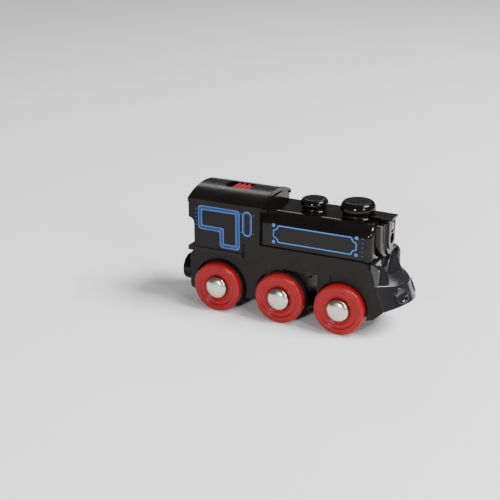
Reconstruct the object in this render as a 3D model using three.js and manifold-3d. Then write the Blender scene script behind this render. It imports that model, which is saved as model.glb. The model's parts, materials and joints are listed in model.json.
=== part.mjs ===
// Battery driven toy locomotive for a wooden railway.
// Millimetres, +X towards the chimney end, +Z up. Lengths are measured along the
// chassis; the finished group is moved so that the origin lies under its middle, at
// the height where the wheels stand.
import * as THREE from 'three';
import { mergeVertices } from 'three/addons/utils/BufferGeometryUtils.js';
import Module from 'manifold-3d';

const wasm = await Module();
wasm.setup();

// ---------------------------------------------------------------- dimensions
// running gear
const WHEEL_R = 10.5;
const WHEEL_SIDES = 32;
const WHEEL_FACE = 17.2;
const WHEEL_BACK = 10.9;
const TYRE_EDGE = 14.0;
const TYRE_SEAT = 8.6;
const AXLE_Z = WHEEL_R;
const AXLE_R = 1.5;
const AXLE_BORE = 1.62;
const AXLE_X = { rear: -26.9, middle: 1.3, front: 27.1 };
const CAP_R = 4.7;
const CAP_BULGE = 1.9;

// chassis
const CHASSIS_HALF = 13.9;
const SKIRT = 1.5;
const CHASSIS_REAR = -40.7;
const CHASSIS_BOTTOM = 7.2;
const PARTING_Z = 31;
const STEP_X = -15.9;
const STEP_Z = 24.4;
const ARCH = {
  rear: { r: 12.0, shift: 0.6 },
  middle: { r: 11.5, shift: 0 },
  front: { r: 11.1, shift: 0.2 },
};
const WELL_BACK = 10.6;
const WELL_WALL = 1.2;
const RECESS = { x0: 2, x1: 16.8, top: 22.6 };
const NOSE_TOP = [40.5, 22.3];
const NOSE_FOOT = [45.0, 12.0];
const PANEL = { back: 38.9, front: 40.4, half: 12.1, foot: 12.4, top: 30.9 };

// gearbox and base
const GEARBOX_HALF = 9.6;
const GEARBOX_WALL = 1.0;
const GEARBOX_REAR = -33.2;
const GEARBOX_FRONT = 11.4;
const COVER_TOP = 7.2;
const COVER_BOTTOM = 6.0;
const SUMP_HALF = 5.2;
const SUMP_BOTTOM = 4.5;

// upper body
const WALL = 1.5;
const BOILER_HALF = 13.0;
const BOILER_TOP = 45.3;
const BOILER_ROUND = 5.5;
const BOILER_FRONT = 38.8;
const CAB_HALF = 14.4;
const CAB_REAR = -40.9;
const CAB_WAIST = -38.4;
const CAB_FRONT = -8.3;
const LEDGE_TOP = 26.4;
const LEDGE_OUT = 0.4;
const EAVE_Z = 47.1;
const ROOF_APEX = 50.9;
const ROOF_THICK = 1.6;
const ROOF_OVERHANG = 0.6;

// roof switch
const SLOT = { x: -24.2, length: 11, width: 7.6 };
const KNOB = { length: 6.9, width: 6.8, offset: 0.6 };

// boiler mountings
const CHIMNEY = { x: 27.9, topR: 7.1, footR: 6.1, topZ: 51.3 };
const DOME = { x: 9.3, topR: 5.7, footR: 4.8, topZ: 49.9 };

// smokebox front
const BOSS_HALF = 9.7;
const BOSS_BOTTOM = 29.8;
const TOWER_BOTTOM = 33.3;
const TOWER_FACE = 42.4;
const TOWER_HALF = 3.9;
const TOWER_TOP = 46.0;
const HOOD = { back: 34.6, front: 43.4, half: 3.6, top: 46.9 };
const LAMP_Z = 42.9;
const LED_Z = 42.3;
const DIMPLE_Z = 37.9;
const LAMP_R = 2.6;

// couplings
const COUPLING = { face: -49.3, z: 11.0, r: 5.7, pivotX: -36.5 };
const MAGNET_R = 4.2;

// half way between the coupling face and the tip of the pilot
const MIDDLE_X = 1.8;

// ------------------------------------------------------------------- colours
const finish = (color, roughness, metalness = 0) => ({ color, roughness, metalness });
const BLACK_GLOSS = finish(0x1d1a19, 0.22);
const BLACK_MATT = finish(0x2b2827, 0.6);
const RED = finish(0xc23034, 0.35);
const RUBBER = finish(0x171717, 0.85);
const CHROME = finish(0xd9d7d2, 0.14, 1);
const STEEL = finish(0xaeb0b2, 0.35, 1);
const BRASS = finish(0xc9a04a, 0.3, 1);
const GEAR_WHITE = finish(0xe9e6dc, 0.5);
const BOARD_GREEN = finish(0x1d5a36, 0.5);
const CELL_BLUE = finish(0x2d5fa8, 0.4);
const LENS_CLEAR = finish(0xf2efe4, 0.08);
const COPPER_RED = finish(0xb02222, 0.5);
const WIRE_BLACK = finish(0x141414, 0.5);

// ------------------------------------------------------------- solid helpers
function solid(geometry) {
  const bare = geometry.index ? geometry.toNonIndexed() : geometry.clone();
  bare.deleteAttribute('normal');
  bare.deleteAttribute('uv');
  const merged = mergeVertices(bare, 1e-5);
  const index = merged.index.array;
  const triangles = [];
  for (let i = 0; i < index.length; i += 3) {
    const [a, b, c] = [index[i], index[i + 1], index[i + 2]];
    if (a !== b && b !== c && c !== a) triangles.push(a, b, c);
  }
  const p = merged.attributes.position;
  const [a, b, c] = [new THREE.Vector3(), new THREE.Vector3(), new THREE.Vector3()];
  let volume = 0;
  for (let i = 0; i < triangles.length; i += 3) {
    a.fromBufferAttribute(p, triangles[i]);
    b.fromBufferAttribute(p, triangles[i + 1]);
    c.fromBufferAttribute(p, triangles[i + 2]);
    volume += a.dot(b.cross(c));
  }
  if (volume < 0) triangles.reverse();
  return new wasm.Manifold(new wasm.Mesh({
    numProp: 3,
    vertProperties: new Float32Array(p.array),
    triVerts: new Uint32Array(triangles),
  }));
}

function geometryOf(manifold) {
  const mesh = manifold.getMesh();
  const geometry = new THREE.BufferGeometry();
  geometry.setAttribute('position', new THREE.BufferAttribute(mesh.vertProperties, 3));
  geometry.setIndex(new THREE.BufferAttribute(mesh.triVerts, 1));
  geometry.computeVertexNormals();
  return geometry;
}

const joined = (first, ...rest) => rest.reduce((sum, next) => sum.add(next), first);
const cut = (first, ...tools) => tools.reduce((rest, tool) => rest.subtract(tool), first);

const group = new THREE.Group();

function piece(name, manifold, material, parent = group) {
  const mesh = new THREE.Mesh(geometryOf(manifold), new THREE.MeshStandardMaterial(material));
  mesh.name = name;
  parent.add(mesh);
  return mesh;
}

function box(x0, x1, y0, y1, z0, z1) {
  const geometry = new THREE.BoxGeometry(x1 - x0, y1 - y0, z1 - z0);
  geometry.translate((x0 + x1) / 2, (y0 + y1) / 2, (z0 + z1) / 2);
  return solid(geometry);
}

// both sides of the locomotive: the same box at -Y and +Y
const pairOfBoxes = (x0, x1, y0, y1, z0, z1) =>
  joined(box(x0, x1, y0, y1, z0, z1), box(x0, x1, -y1, -y0, z0, z1));

function shapeOf(points) {
  return new THREE.Shape(points.map(([u, v]) => new THREE.Vector2(u, v)));
}

const flat = (shape, depth, curveSegments = 8) =>
  new THREE.ExtrudeGeometry(shape, { depth, bevelEnabled: false, curveSegments });

// outline in X and Z, standing between two Y planes
function plateY(shape, y0, y1, curveSegments) {
  const geometry = flat(shape, y1 - y0, curveSegments);
  geometry.rotateX(Math.PI / 2);
  geometry.translate(0, y1, 0);
  return solid(geometry);
}

// outline in Y and Z, standing between two X planes
function plateX(shape, x0, x1, curveSegments) {
  const geometry = flat(shape, x1 - x0, curveSegments);
  geometry.applyMatrix4(new THREE.Matrix4().makeBasis(
    new THREE.Vector3(0, 1, 0), new THREE.Vector3(0, 0, 1), new THREE.Vector3(1, 0, 0)));
  geometry.translate(x0, 0, 0);
  return solid(geometry);
}

// outline in X and Y, standing between two Z planes
function plateZ(shape, z0, z1, curveSegments) {
  const geometry = flat(shape, z1 - z0, curveSegments);
  geometry.translate(0, 0, z0);
  return solid(geometry);
}

// round rod along Y, X or Z; rings is the number of sides
function rodY(x, z, r, y0, y1, sides = 20) {
  const geometry = new THREE.CylinderGeometry(r, r, y1 - y0, sides);
  geometry.translate(x, (y0 + y1) / 2, z);
  return solid(geometry);
}

function rodX(y, z, r, x0, x1, sides = 24, r1 = r) {
  const geometry = new THREE.CylinderGeometry(r1, r, x1 - x0, sides);
  geometry.rotateZ(-Math.PI / 2);
  geometry.translate((x0 + x1) / 2, y, z);
  return solid(geometry);
}

function rodZ(x, y, r, z0, z1, sides = 20) {
  const geometry = new THREE.CylinderGeometry(r, r, z1 - z0, sides);
  geometry.rotateX(Math.PI / 2);
  geometry.translate(x, y, (z0 + z1) / 2);
  return solid(geometry);
}

// turned about a Y axis: points are [radius, y]
function turnedY(points, sides) {
  const profile = points.map(([r, y]) => new THREE.Vector2(r, y));
  return new THREE.LatheGeometry(profile, sides);
}

// turned about a Z axis: points are [radius, z]
function turnedZ(points, x, sides) {
  const geometry = turnedY(points, sides);
  geometry.rotateX(Math.PI / 2);
  geometry.translate(x, 0, 0);
  return solid(geometry);
}

// --------------------------------------------------------------- boiler shell
// Cross-section of the boiler: straight sides, a level top and rounded shoulders.
function boilerSection(half, top, foot) {
  const r = BOILER_ROUND - (BOILER_HALF - half);
  const shape = new THREE.Shape();
  shape.moveTo(-half, foot);
  shape.lineTo(half, foot);
  shape.lineTo(half, top - r);
  shape.absarc(half - r, top - r, r, 0, Math.PI / 2, false);
  shape.lineTo(r - half, top);
  shape.absarc(r - half, top - r, r, Math.PI / 2, Math.PI, false);
  shape.lineTo(-half, foot);
  return shape;
}

function roundedPlan(x0, x1, half, r) {
  const shape = new THREE.Shape();
  shape.moveTo(x0, -half);
  shape.lineTo(x1 - r, -half);
  shape.absarc(x1 - r, -half + r, r, -Math.PI / 2, 0, false);
  shape.lineTo(x1, half - r);
  shape.absarc(x1 - r, half - r, r, 0, Math.PI / 2, false);
  shape.lineTo(x0, half);
  shape.lineTo(x0, -half);
  return shape;
}

function makeBoilerShell() {
  const outer = plateX(boilerSection(BOILER_HALF, BOILER_TOP, PARTING_Z), CAB_FRONT, BOILER_FRONT, 8)
    .intersect(plateZ(roundedPlan(CAB_FRONT - 1, BOILER_FRONT, BOILER_HALF, 2.6), 0, 60, 4));
  const innerSection = boilerSection(BOILER_HALF - WALL, BOILER_TOP - WALL, PARTING_Z - 1);
  const inner = plateX(innerSection, CAB_FRONT - 1, BOILER_FRONT - WALL, 6);
  const lampHole = rodX(0, LED_Z, 2.0, BOILER_FRONT - WALL - 0.05, BOILER_FRONT + 1, 16);
  piece('boiler_shell', cut(outer, inner, lampHole), BLACK_GLOSS);
}

// ------------------------------------------------------------------ cab shell
// Side outline of the cab with the ledge, the concave notch and the low skirt.
function cabSide(inset) {
  const shape = new THREE.Shape();
  shape.moveTo(CAB_REAR + inset, STEP_Z - inset);
  shape.lineTo(STEP_X - inset, STEP_Z - inset);
  shape.lineTo(STEP_X - inset, PARTING_Z - inset);
  shape.lineTo(CAB_FRONT - inset, PARTING_Z - inset);
  shape.lineTo(CAB_FRONT - inset, EAVE_Z + 1);
  shape.lineTo(CAB_REAR + inset, EAVE_Z + 1);
  shape.lineTo(CAB_REAR + inset, 38.7 - inset);
  shape.quadraticCurveTo(CAB_WAIST + inset, 38.4 - inset, CAB_WAIST + inset, 35.9);
  shape.lineTo(CAB_WAIST + inset, LEDGE_TOP - inset);
  shape.lineTo(CAB_REAR + inset, LEDGE_TOP - inset);
  shape.lineTo(CAB_REAR + inset, STEP_Z - inset);
  return shape;
}

// Arched section of the cab: vertical sides up to the eave, then one arc.
function roofArc(half, eave, apex) {
  const rise = apex - eave;
  const radius = (half * half + rise * rise) / (2 * rise);
  return { centre: apex - radius, radius, sweep: Math.asin(half / radius) };
}

function cabSection(half, eave, apex, foot) {
  const arc = roofArc(half, eave, apex);
  const shape = new THREE.Shape();
  shape.moveTo(-half, foot);
  shape.lineTo(half, foot);
  shape.lineTo(half, eave);
  shape.absarc(0, arc.centre, arc.radius, Math.PI / 2 - arc.sweep, Math.PI / 2 + arc.sweep, false);
  shape.lineTo(-half, foot);
  return shape;
}

const CAB_EAVE = EAVE_Z - 0.5;
const CAB_APEX = ROOF_APEX - ROOF_THICK;

function makeCabShell() {
  const body = plateY(cabSide(0), -CAB_HALF, CAB_HALF, 5)
    .intersect(plateX(cabSection(CAB_HALF, CAB_EAVE, CAB_APEX, 20), CAB_REAR - 1, CAB_FRONT + 1, 10));
  const room = plateY(cabSide(WALL), WALL - CAB_HALF, CAB_HALF - WALL, 4);
  const top = box(CAB_REAR + WALL, CAB_FRONT - WALL, WALL - CAB_HALF, CAB_HALF - WALL, 40, 60);
  const boilerWay = plateX(
    boilerSection(BOILER_HALF - WALL, BOILER_TOP - WALL, PARTING_Z - 2), CAB_FRONT - 3, CAB_FRONT + 1, 6);
  const ledge = box(CAB_REAR - 0.2, STEP_X, -CAB_HALF - LEDGE_OUT, CAB_HALF + LEDGE_OUT, STEP_Z, LEDGE_TOP);
  const skirtWay = box(STEP_X - 3, STEP_X + 1, WALL - CAB_HALF, CAB_HALF - WALL, 20, PARTING_Z);
  const socketHole = box(CAB_WAIST - 1, CAB_WAIST + 3, -4.2, 4.2, 29.9, 33.4);
  piece('cab_shell', cut(body.add(ledge), room, top, boilerWay, skirtWay, socketHole), BLACK_GLOSS);
}

function makeCabRoof() {
  const half = CAB_HALF + 0.5;
  const x0 = CAB_REAR - 0.1;
  const x1 = CAB_FRONT + ROOF_OVERHANG;
  const full = plateX(cabSection(half, EAVE_Z, ROOF_APEX, EAVE_Z - 1.6), x0, x1, 12);
  const underSection = cabSection(CAB_HALF + 0.02, CAB_EAVE + 0.02, CAB_APEX + 0.02, 40);
  const under = plateX(underSection, x0 - 1, x1 + 1, 12);
  const opening = box(SLOT.x - SLOT.length / 2, SLOT.x + SLOT.length / 2,
    -SLOT.width / 2, SLOT.width / 2, 46, 54);
  piece('cab_roof', cut(full, under, opening), BLACK_GLOSS);
}

// ---------------------------------------------------------------- roof switch
const KNOB_X = SLOT.x + KNOB.offset;
const KNOB_FOOT = ROOF_APEX - 2.0;

function makeSwitch() {
  const slide = new THREE.Group();
  slide.position.set(KNOB_X, 0, 0);
  group.add(slide);
  const halfX = KNOB.length / 2;
  const halfY = KNOB.width / 2;
  let knob = box(-halfX, halfX, -halfY, halfY, KNOB_FOOT, KNOB_FOOT + 0.9);
  for (const x of [-2.3, 0, 2.3]) {
    knob = knob.add(box(x - 0.55, x + 0.55, -halfY, halfY, KNOB_FOOT + 0.8, KNOB_FOOT + 1.6));
  }
  knob = knob.add(box(-1, 1, -1, 1, KNOB_FOOT - 2.5, KNOB_FOOT + 0.1));
  piece('switch_knob', knob, RED, slide);
  const well = box(SLOT.x - 4.4, SLOT.x + 4.4, -1.1, 1.1, KNOB_FOOT - 3, KNOB_FOOT);
  const body = joined(
    box(SLOT.x - 5.4, SLOT.x + 5.4, -2.2, 2.2, KNOB_FOOT - 5, KNOB_FOOT - 1.2),
    box(SLOT.x - 8, SLOT.x + 8, -2.2, 2.2, KNOB_FOOT - 4.4, KNOB_FOOT - 3.9));
  piece('switch_body', cut(body, well), STEEL);
}

// ----------------------------------------------------------- boiler mountings
function makeMountings() {
  const seat = BOILER_TOP + 0.02;
  piece('chimney', turnedZ([
    [0, seat], [CHIMNEY.footR, seat], [CHIMNEY.footR, 47.6], [CHIMNEY.topR, 48.9],
    [CHIMNEY.topR, CHIMNEY.topZ - 1.3], [CHIMNEY.topR - 1.3, CHIMNEY.topZ], [0, CHIMNEY.topZ]],
  CHIMNEY.x, 32), BLACK_GLOSS);
  piece('steam_dome', turnedZ([
    [0, seat], [DOME.footR, seat], [DOME.footR, 47.2], [DOME.topR, 48.3],
    [DOME.topR, DOME.topZ - 1.1], [DOME.topR - 1.1, DOME.topZ], [0, DOME.topZ]],
  DOME.x, 28), BLACK_GLOSS);
}

// ------------------------------------------------------------- smokebox front
// Upright tongue with a round lower end, half as wide as it is given.
function tongue(half, bottom, top) {
  const shape = new THREE.Shape();
  shape.moveTo(half, top);
  shape.lineTo(-half, top);
  shape.lineTo(-half, bottom + half);
  shape.absarc(0, bottom + half, half, Math.PI, Math.PI * 2, false);
  shape.lineTo(half, top);
  return shape;
}

function makeSmokeboxFront() {
  const start = BOILER_FRONT + 0.02;
  const steps = 4;
  const tower = plateX(tongue(TOWER_HALF, TOWER_BOTTOM, TOWER_TOP), start, TOWER_FACE, 8);
  let boss = tower;
  for (let i = 0; i < steps; i += 1) {
    const along = (i + 1) / steps;
    const half = TOWER_HALF + (BOSS_HALF - TOWER_HALF) * Math.sqrt(1 - (i / steps) ** 2);
    const end = start + (TOWER_FACE - start) * along * 0.86;
    const top = TOWER_TOP - 0.6 * along;
    const bottom = BOSS_BOTTOM + (TOWER_BOTTOM - BOSS_BOTTOM) * along * 0.7;
    boss = boss.add(plateX(tongue(half, bottom, top), start, end, 6));
  }
  const ridge = box(HOOD.back, start + 0.1, -HOOD.half, HOOD.half, BOILER_TOP + 0.02, HOOD.top);
  const hood = box(start, HOOD.front, -HOOD.half, HOOD.half, TOWER_TOP - 0.1, HOOD.top);
  const boilerEnd = plateX(boilerSection(BOILER_HALF - 0.4, BOILER_TOP - 0.4, 20), 30, 50, 8);
  const lampBore = rodX(0, LAMP_Z, LAMP_R, TOWER_FACE - 2.2, TOWER_FACE + 1, 20);
  const ledBore = rodX(0, LED_Z, 2.0, start - 1, TOWER_FACE, 16);
  const dimple = rodX(0, DIMPLE_Z, 2.05, TOWER_FACE - 0.9, TOWER_FACE + 1, 20);
  const front = joined(boss.intersect(boilerEnd), tower, ridge, hood);
  piece('smokebox_front', cut(front, lampBore, ledBore, dimple), BLACK_GLOSS);
  const lens = turnedY([[0, 0], [LAMP_R - 0.06, 0], [LAMP_R - 0.06, 1.6], [1.6, 2.15], [0, 2.35]], 20);
  lens.rotateZ(-Math.PI / 2);
  lens.translate(TOWER_FACE - 2.15, 0, LAMP_Z);
  piece('headlamp_lens', solid(lens), LENS_CLEAR);
  const led = turnedY([[0, 0], [1.45, 0], [1.45, 0.8], [1.25, 0.8], [1.25, 3.2], [0.8, 4.1], [0, 4.4]], 16);
  led.rotateZ(-Math.PI / 2);
  led.translate(TOWER_FACE - 6.8, 0, LED_Z);
  piece('headlamp_led', solid(led), LENS_CLEAR);
}

// -------------------------------------------------------------------- chassis
function chassisOutline(inset) {
  const shape = new THREE.Shape();
  const rear = CHASSIS_REAR + inset;
  const top = PARTING_Z + (inset ? 1 : 0);
  shape.moveTo(rear + 2, CHASSIS_BOTTOM);
  shape.lineTo(38.2, CHASSIS_BOTTOM);
  shape.lineTo(40.7 - inset, 7.9 + inset * 0.3);
  shape.lineTo(NOSE_FOOT[0] - inset * 1.3, NOSE_FOOT[1]);
  shape.lineTo(NOSE_TOP[0] - inset, NOSE_TOP[1]);
  shape.quadraticCurveTo(39 - inset, PARTING_Z - inset, 35 - inset, PARTING_Z - inset * 0.6);
  shape.lineTo(34 - inset, top);
  shape.lineTo(STEP_X + 0.1 + inset, top);
  shape.lineTo(STEP_X + 0.1 + inset, STEP_Z - 0.05 + (inset ? 1 : 0));
  shape.lineTo(rear + 3.8, STEP_Z - 0.05 + (inset ? 1 : 0));
  shape.quadraticCurveTo(rear, STEP_Z - 0.1, rear, 21.6);
  shape.lineTo(rear, CHASSIS_BOTTOM + 2);
  shape.quadraticCurveTo(rear, CHASSIS_BOTTOM, rear + 2, CHASSIS_BOTTOM);
  return shape;
}

// Wheel wells of both sides, from the given depth outwards.
function wells(depth, grow) {
  const tools = [];
  for (const name of ['rear', 'front']) {
    const x = AXLE_X[name] + ARCH[name].shift;
    const r = ARCH[name].r + grow;
    tools.push(rodY(x, AXLE_Z, r, depth, 20, 28), rodY(x, AXLE_Z, r, -20, -depth, 28));
  }
  return joined(...tools);
}

// The middle opening is round behind the axle and square in front of it.
function recesses(depth, grow) {
  const r = ARCH.middle.r + grow;
  return joined(
    pairOfBoxes(RECESS.x0 - grow, RECESS.x1 + grow, depth, 20, 0, RECESS.top + grow),
    rodY(AXLE_X.middle, AXLE_Z, r, depth, 20, 28), rodY(AXLE_X.middle, AXLE_Z, r, -20, -depth, 28));
}

function makeChassis() {
  const outer = plateY(chassisOutline(0), -CHASSIS_HALF, CHASSIS_HALF, 5);
  const floor = 1.6;
  let room = plateY(chassisOutline(SKIRT), SKIRT - CHASSIS_HALF, CHASSIS_HALF - SKIRT, 4);
  room = cut(room, box(-60, 60, -20, 20, 0, CHASSIS_BOTTOM + floor), wells(WELL_BACK - 0.8, WELL_WALL),
    recesses(GEARBOX_HALF + 0.1, WELL_WALL));
  const baseOpening = box(-34.9, 33.9, -GEARBOX_HALF - 0.1, GEARBOX_HALF + 0.1, 0, 12);
  const axleSlots = [AXLE_X.front, AXLE_X.rear].map((x) =>
    box(x - AXLE_R - 0.1, x + AXLE_R + 0.1, -11, 11, 0, AXLE_Z + AXLE_R + 0.1));
  const couplingSlot = box(-45, -34.9, -4.4, 4.4, CHASSIS_BOTTOM + floor, 14.4);
  const pinHole = rodZ(COUPLING.pivotX, 0, 1.06, 0, 20, 14);
  const bridge = box(-39.6, -34.4, 0.1 - WELL_BACK, WELL_BACK - 0.1, 14.4, 16.2);
  const expansionSlit = pairOfBoxes(22.4, 22.8, 13.4, 15, 20, 23.6);
  const stepWay = box(STEP_X - 1, STEP_X + 3, SKIRT - CHASSIS_HALF, CHASSIS_HALF - SKIRT, 24, 40);
  const pilotWay = box(PANEL.back - 0.05, 60, -PANEL.half - 0.1, PANEL.half + 0.1, 0, 40);
  const shell = cut(outer, room, wells(WELL_BACK, 0), recesses(GEARBOX_HALF + 0.1, 0), baseOpening,
    ...axleSlots, expansionSlit, stepWay, pilotWay);
  piece('chassis_frame', cut(shell.add(bridge), couplingSlot, pinHole), BLACK_MATT);
}

// ---------------------------------------------------------------------- pilot
// Front blade with a nearly level deck: its foot and its upper edge are parabolas in
// plan that meet the chassis sides. Two pointed posts lean on the wall above it.
const PILOT_HALF = 13.9;
const NOSE_GAP = 0.25;
const EDGE_LIP = 0.2;
const DECK = { reach: 9.0, dip: 1.0 };
const FOOT = { reach: 7.5, lift: 2.0 };
const NICHE = { half: 6.4, bottom: 25.4 };
const PAD = { y: 6.5, z: 17.2, r: 3.3, pocketR: 2.5, height: 0.3, depth: 0.6 };

const deckEdge = (t, less = 0) => [
  NOSE_TOP[0] + NOSE_GAP + EDGE_LIP + (DECK.reach - less) * (1 - t * t),
  NOSE_TOP[1] - DECK.dip * (1 - t * t)];
const footEdge = (t, less = 0) => [
  NOSE_FOOT[0] + NOSE_GAP + EDGE_LIP + (FOOT.reach - less) * (1 - t * t),
  NOSE_FOOT[1] + FOOT.lift * (1 - t * t)];

// Solid between the chassis end and the two edges, made smaller by the given wall
// and reaching the given distance below the foot.
function bladeLoft(wall, below) {
  const columns = 20;
  const positions = [];
  for (let i = 0; i <= columns; i += 1) {
    const t = (2 * i) / columns - 1;
    const y = t * (PILOT_HALF - wall);
    const [footX, footZ] = footEdge(t, wall);
    const [deckX, deckZ] = deckEdge(t, wall);
    positions.push(
      [NOSE_FOOT[0] + NOSE_GAP, y, footZ - below],
      [footX, y, footZ - below],
      [deckX, y, deckZ - wall],
      [NOSE_TOP[0] + NOSE_GAP, y, deckZ - wall]);
  }
  const triangles = [];
  const ring = 4;
  for (let i = 0; i < columns; i += 1) {
    for (let k = 0; k < ring; k += 1) {
      const a = i * ring + k;
      const b = i * ring + ((k + 1) % ring);
      triangles.push(a, b, b + ring, a, b + ring, a + ring);
    }
  }
  const last = columns * ring;
  triangles.push(0, 2, 1, 0, 3, 2, last, last + 1, last + 2, last, last + 2, last + 3);
  const geometry = new THREE.BufferGeometry();
  geometry.setAttribute('position', new THREE.Float32BufferAttribute(positions.flat(), 3));
  geometry.setIndex(triangles);
  return solid(geometry);
}

// Pointed buffer: a four-sided pyramid leaning back against the front wall.
function pointedBuffer(side) {
  const back = PANEL.front - 0.1;
  const base = [[back, 12.6, 22.3], [back, 1.2, 20.6], [44.7, 8.7, 21.9]];
  const corners = base.map(([x, y, z]) => [x, side * y, z]);
  const foot = base.map(([x, y]) => [x, side * y, 19.4]);
  const apex = [back + 1.0, side * 9.3, 29.3];
  const apexBack = [back, side * 9.3, 29.2];
  const geometry = new THREE.BufferGeometry();
  const points = [...corners, apex, ...foot, apexBack];
  geometry.setAttribute('position', new THREE.Float32BufferAttribute(points.flat(), 3));
  geometry.setIndex([
    0, 2, 3, 0, 3, 7, 2, 1, 3, 1, 7, 3, 4, 6, 2, 4, 2, 0,
    6, 5, 1, 6, 1, 2, 5, 4, 0, 5, 0, 7, 5, 7, 1, 4, 5, 6]);
  return solid(geometry);
}

// Rounded lip that stands forward at each end of the front wall.
function cornerLips() {
  const plan = (side) => shapeOf([
    [38.95, 11.5], [38.95, 13.9], [40.6, 13.85], [41.6, 13.5], [42.2, 12.8], [42.1, 12.1], [41.4, 11.5],
  ].map(([x, y]) => [x, side * y]));
  const side = shapeOf([
    [38, 19.2], [41.2, 19.2], [42.1, 23.5], [42.5, 26], [42.3, 27.4], [41.6, 29.1],
    [40.3, 30.3], [38.6, 30.85],
    [38, 30.85]]);
  return joined(plateZ(plan(1), 19.2, 31), plateZ(plan(-1), 19.2, 31)).intersect(plateY(side, -15, 15));
}

// Round rod from a point along a direction, between two distances from the point.
function rodAlong(point, direction, r, from, to, sides) {
  const geometry = new THREE.CylinderGeometry(r, r, to - from, sides);
  geometry.translate(0, (from + to) / 2, 0);
  geometry.applyQuaternion(new THREE.Quaternion().setFromUnitVectors(
    new THREE.Vector3(0, 1, 0), direction));
  geometry.translate(point.x, point.y, point.z);
  return solid(geometry);
}

// Middle of a buffer pad on the blade face, and the way the face looks there.
function padSeat(side) {
  const at = (t, z) => {
    const [footX, footZ] = footEdge(t);
    const [deckX, deckZ] = deckEdge(t);
    const up = (z - footZ) / (deckZ - footZ);
    return new THREE.Vector3(footX + (deckX - footX) * up, t * PILOT_HALF, z);
  };
  const t = (side * PAD.y) / PILOT_HALF;
  const centre = at(t, PAD.z);
  const across = at(t + 0.05, PAD.z).sub(centre);
  const upward = at(t, PAD.z + 1).sub(centre);
  return { centre, normal: across.cross(upward).normalize() };
}

function makePilot() {
  const blade = bladeLoft(0, 0);
  const hollow = bladeLoft(1.5, 3);
  const niche = plateX(tongue(NICHE.half, NICHE.bottom, 33), 36, 42, 8);
  const panel = cut(
    box(PANEL.back, PANEL.front, -PANEL.half, PANEL.half, PANEL.foot, PANEL.top), niche);
  const web = box(PANEL.back, 41.4, -PANEL.half, PANEL.half, 19.2, NOSE_TOP[1] - DECK.dip - 0.1);
  const pads = [1, -1].map(padSeat);
  const rings = pads.map((p) => rodAlong(p.centre, p.normal, PAD.r, -1.4, PAD.height, 24));
  const pockets = pads.map((p) => rodAlong(p.centre, p.normal, PAD.pocketR, -PAD.depth, 4, 24));
  const posts = [1, -1].map(pointedBuffer);
  const body = joined(cut(blade, hollow), ...posts, panel, cornerLips(), web, ...rings);
  const skirtEdge = shapeOf([[NOSE_FOOT[0] + NOSE_GAP, NOSE_FOOT[1] - 0.01]]);
  skirtEdge.lineTo(NOSE_TOP[0] + NOSE_GAP, NOSE_TOP[1]);
  skirtEdge.quadraticCurveTo(39 + NOSE_GAP, PARTING_Z + NOSE_GAP, 35, PARTING_Z + NOSE_GAP);
  skirtEdge.lineTo(30, PARTING_Z + NOSE_GAP);
  skirtEdge.lineTo(30, 5);
  skirtEdge.lineTo(44, 5);
  const skirts = joined(plateY(skirtEdge, PANEL.half, 20), plateY(skirtEdge, -20, -PANEL.half));
  piece('pilot', cut(body, skirts, ...pockets), BLACK_GLOSS);
}

// ------------------------------------------------------------------ base cover
function makeBaseCover() {
  const plate = box(-34.6, 33.6, -9.6, 9.6, COVER_BOTTOM, COVER_TOP);
  const sump = joined(
    box(GEARBOX_REAR, GEARBOX_FRONT, -SUMP_HALF, SUMP_HALF, SUMP_BOTTOM, COVER_BOTTOM + 0.1),
    box(-8.8, GEARBOX_FRONT, -9.6, 9.6, SUMP_BOTTOM, COVER_BOTTOM + 0.1));
  const sumpRoom = box(GEARBOX_REAR + 0.8, GEARBOX_FRONT - 1, 0.9 - SUMP_HALF, SUMP_HALF - 0.9,
    SUMP_BOTTOM + 0.8, 20);
  const saddle = (x) => pairOfBoxes(x - 1.4, x + 1.4, 6.6, 8.4, COVER_TOP - 0.1, AXLE_Z - AXLE_R - 0.15);
  const solidCover = joined(plate, sump, saddle(AXLE_X.front));
  const holes = SCREWS.map(([x, y]) => rodZ(x, y, 1.05, 0, 12, 14));
  const sinks = SCREWS.map(([x, y]) => rodZ(x, y, 1.95, 0, COVER_BOTTOM + 0.55, 16));
  piece('base_cover', cut(solidCover, sumpRoom, ...holes, ...sinks), BLACK_MATT);
}

const SCREWS = [[-30.6, 7.4], [-30.6, -7.4], [31.2, 7.4], [31.2, -7.4]];

// Pan-head screw with a cross recess, standing head down.
function screw(x, y) {
  const body = turnedZ([[0, 4.9], [1.85, 4.9], [1.85, 6.5], [0.95, 6.5], [0.95, 10.6], [0, 11.2]], 0, 16)
    .translate([x, y, 0]);
  const recess = joined(
    box(x - 1.1, x + 1.1, y - 0.25, y + 0.25, 4, 5.5),
    box(x - 0.25, x + 0.25, y - 1.1, y + 1.1, 4, 5.5));
  return cut(body, recess);
}

function makeScrews() {
  SCREWS.forEach(([x, y], i) => piece(`base_screw_${i + 1}`, screw(x, y), STEEL));
}

// ----------------------------------------------------------------- gear train
const GEAR_MESH_GAP = 0.1;
const ADDENDUM = 0.8;
const DEDENDUM = 1.05;
const PRESSURE = (20 * Math.PI) / 180;
const involute = (a) => Math.tan(a) - a;

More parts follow.
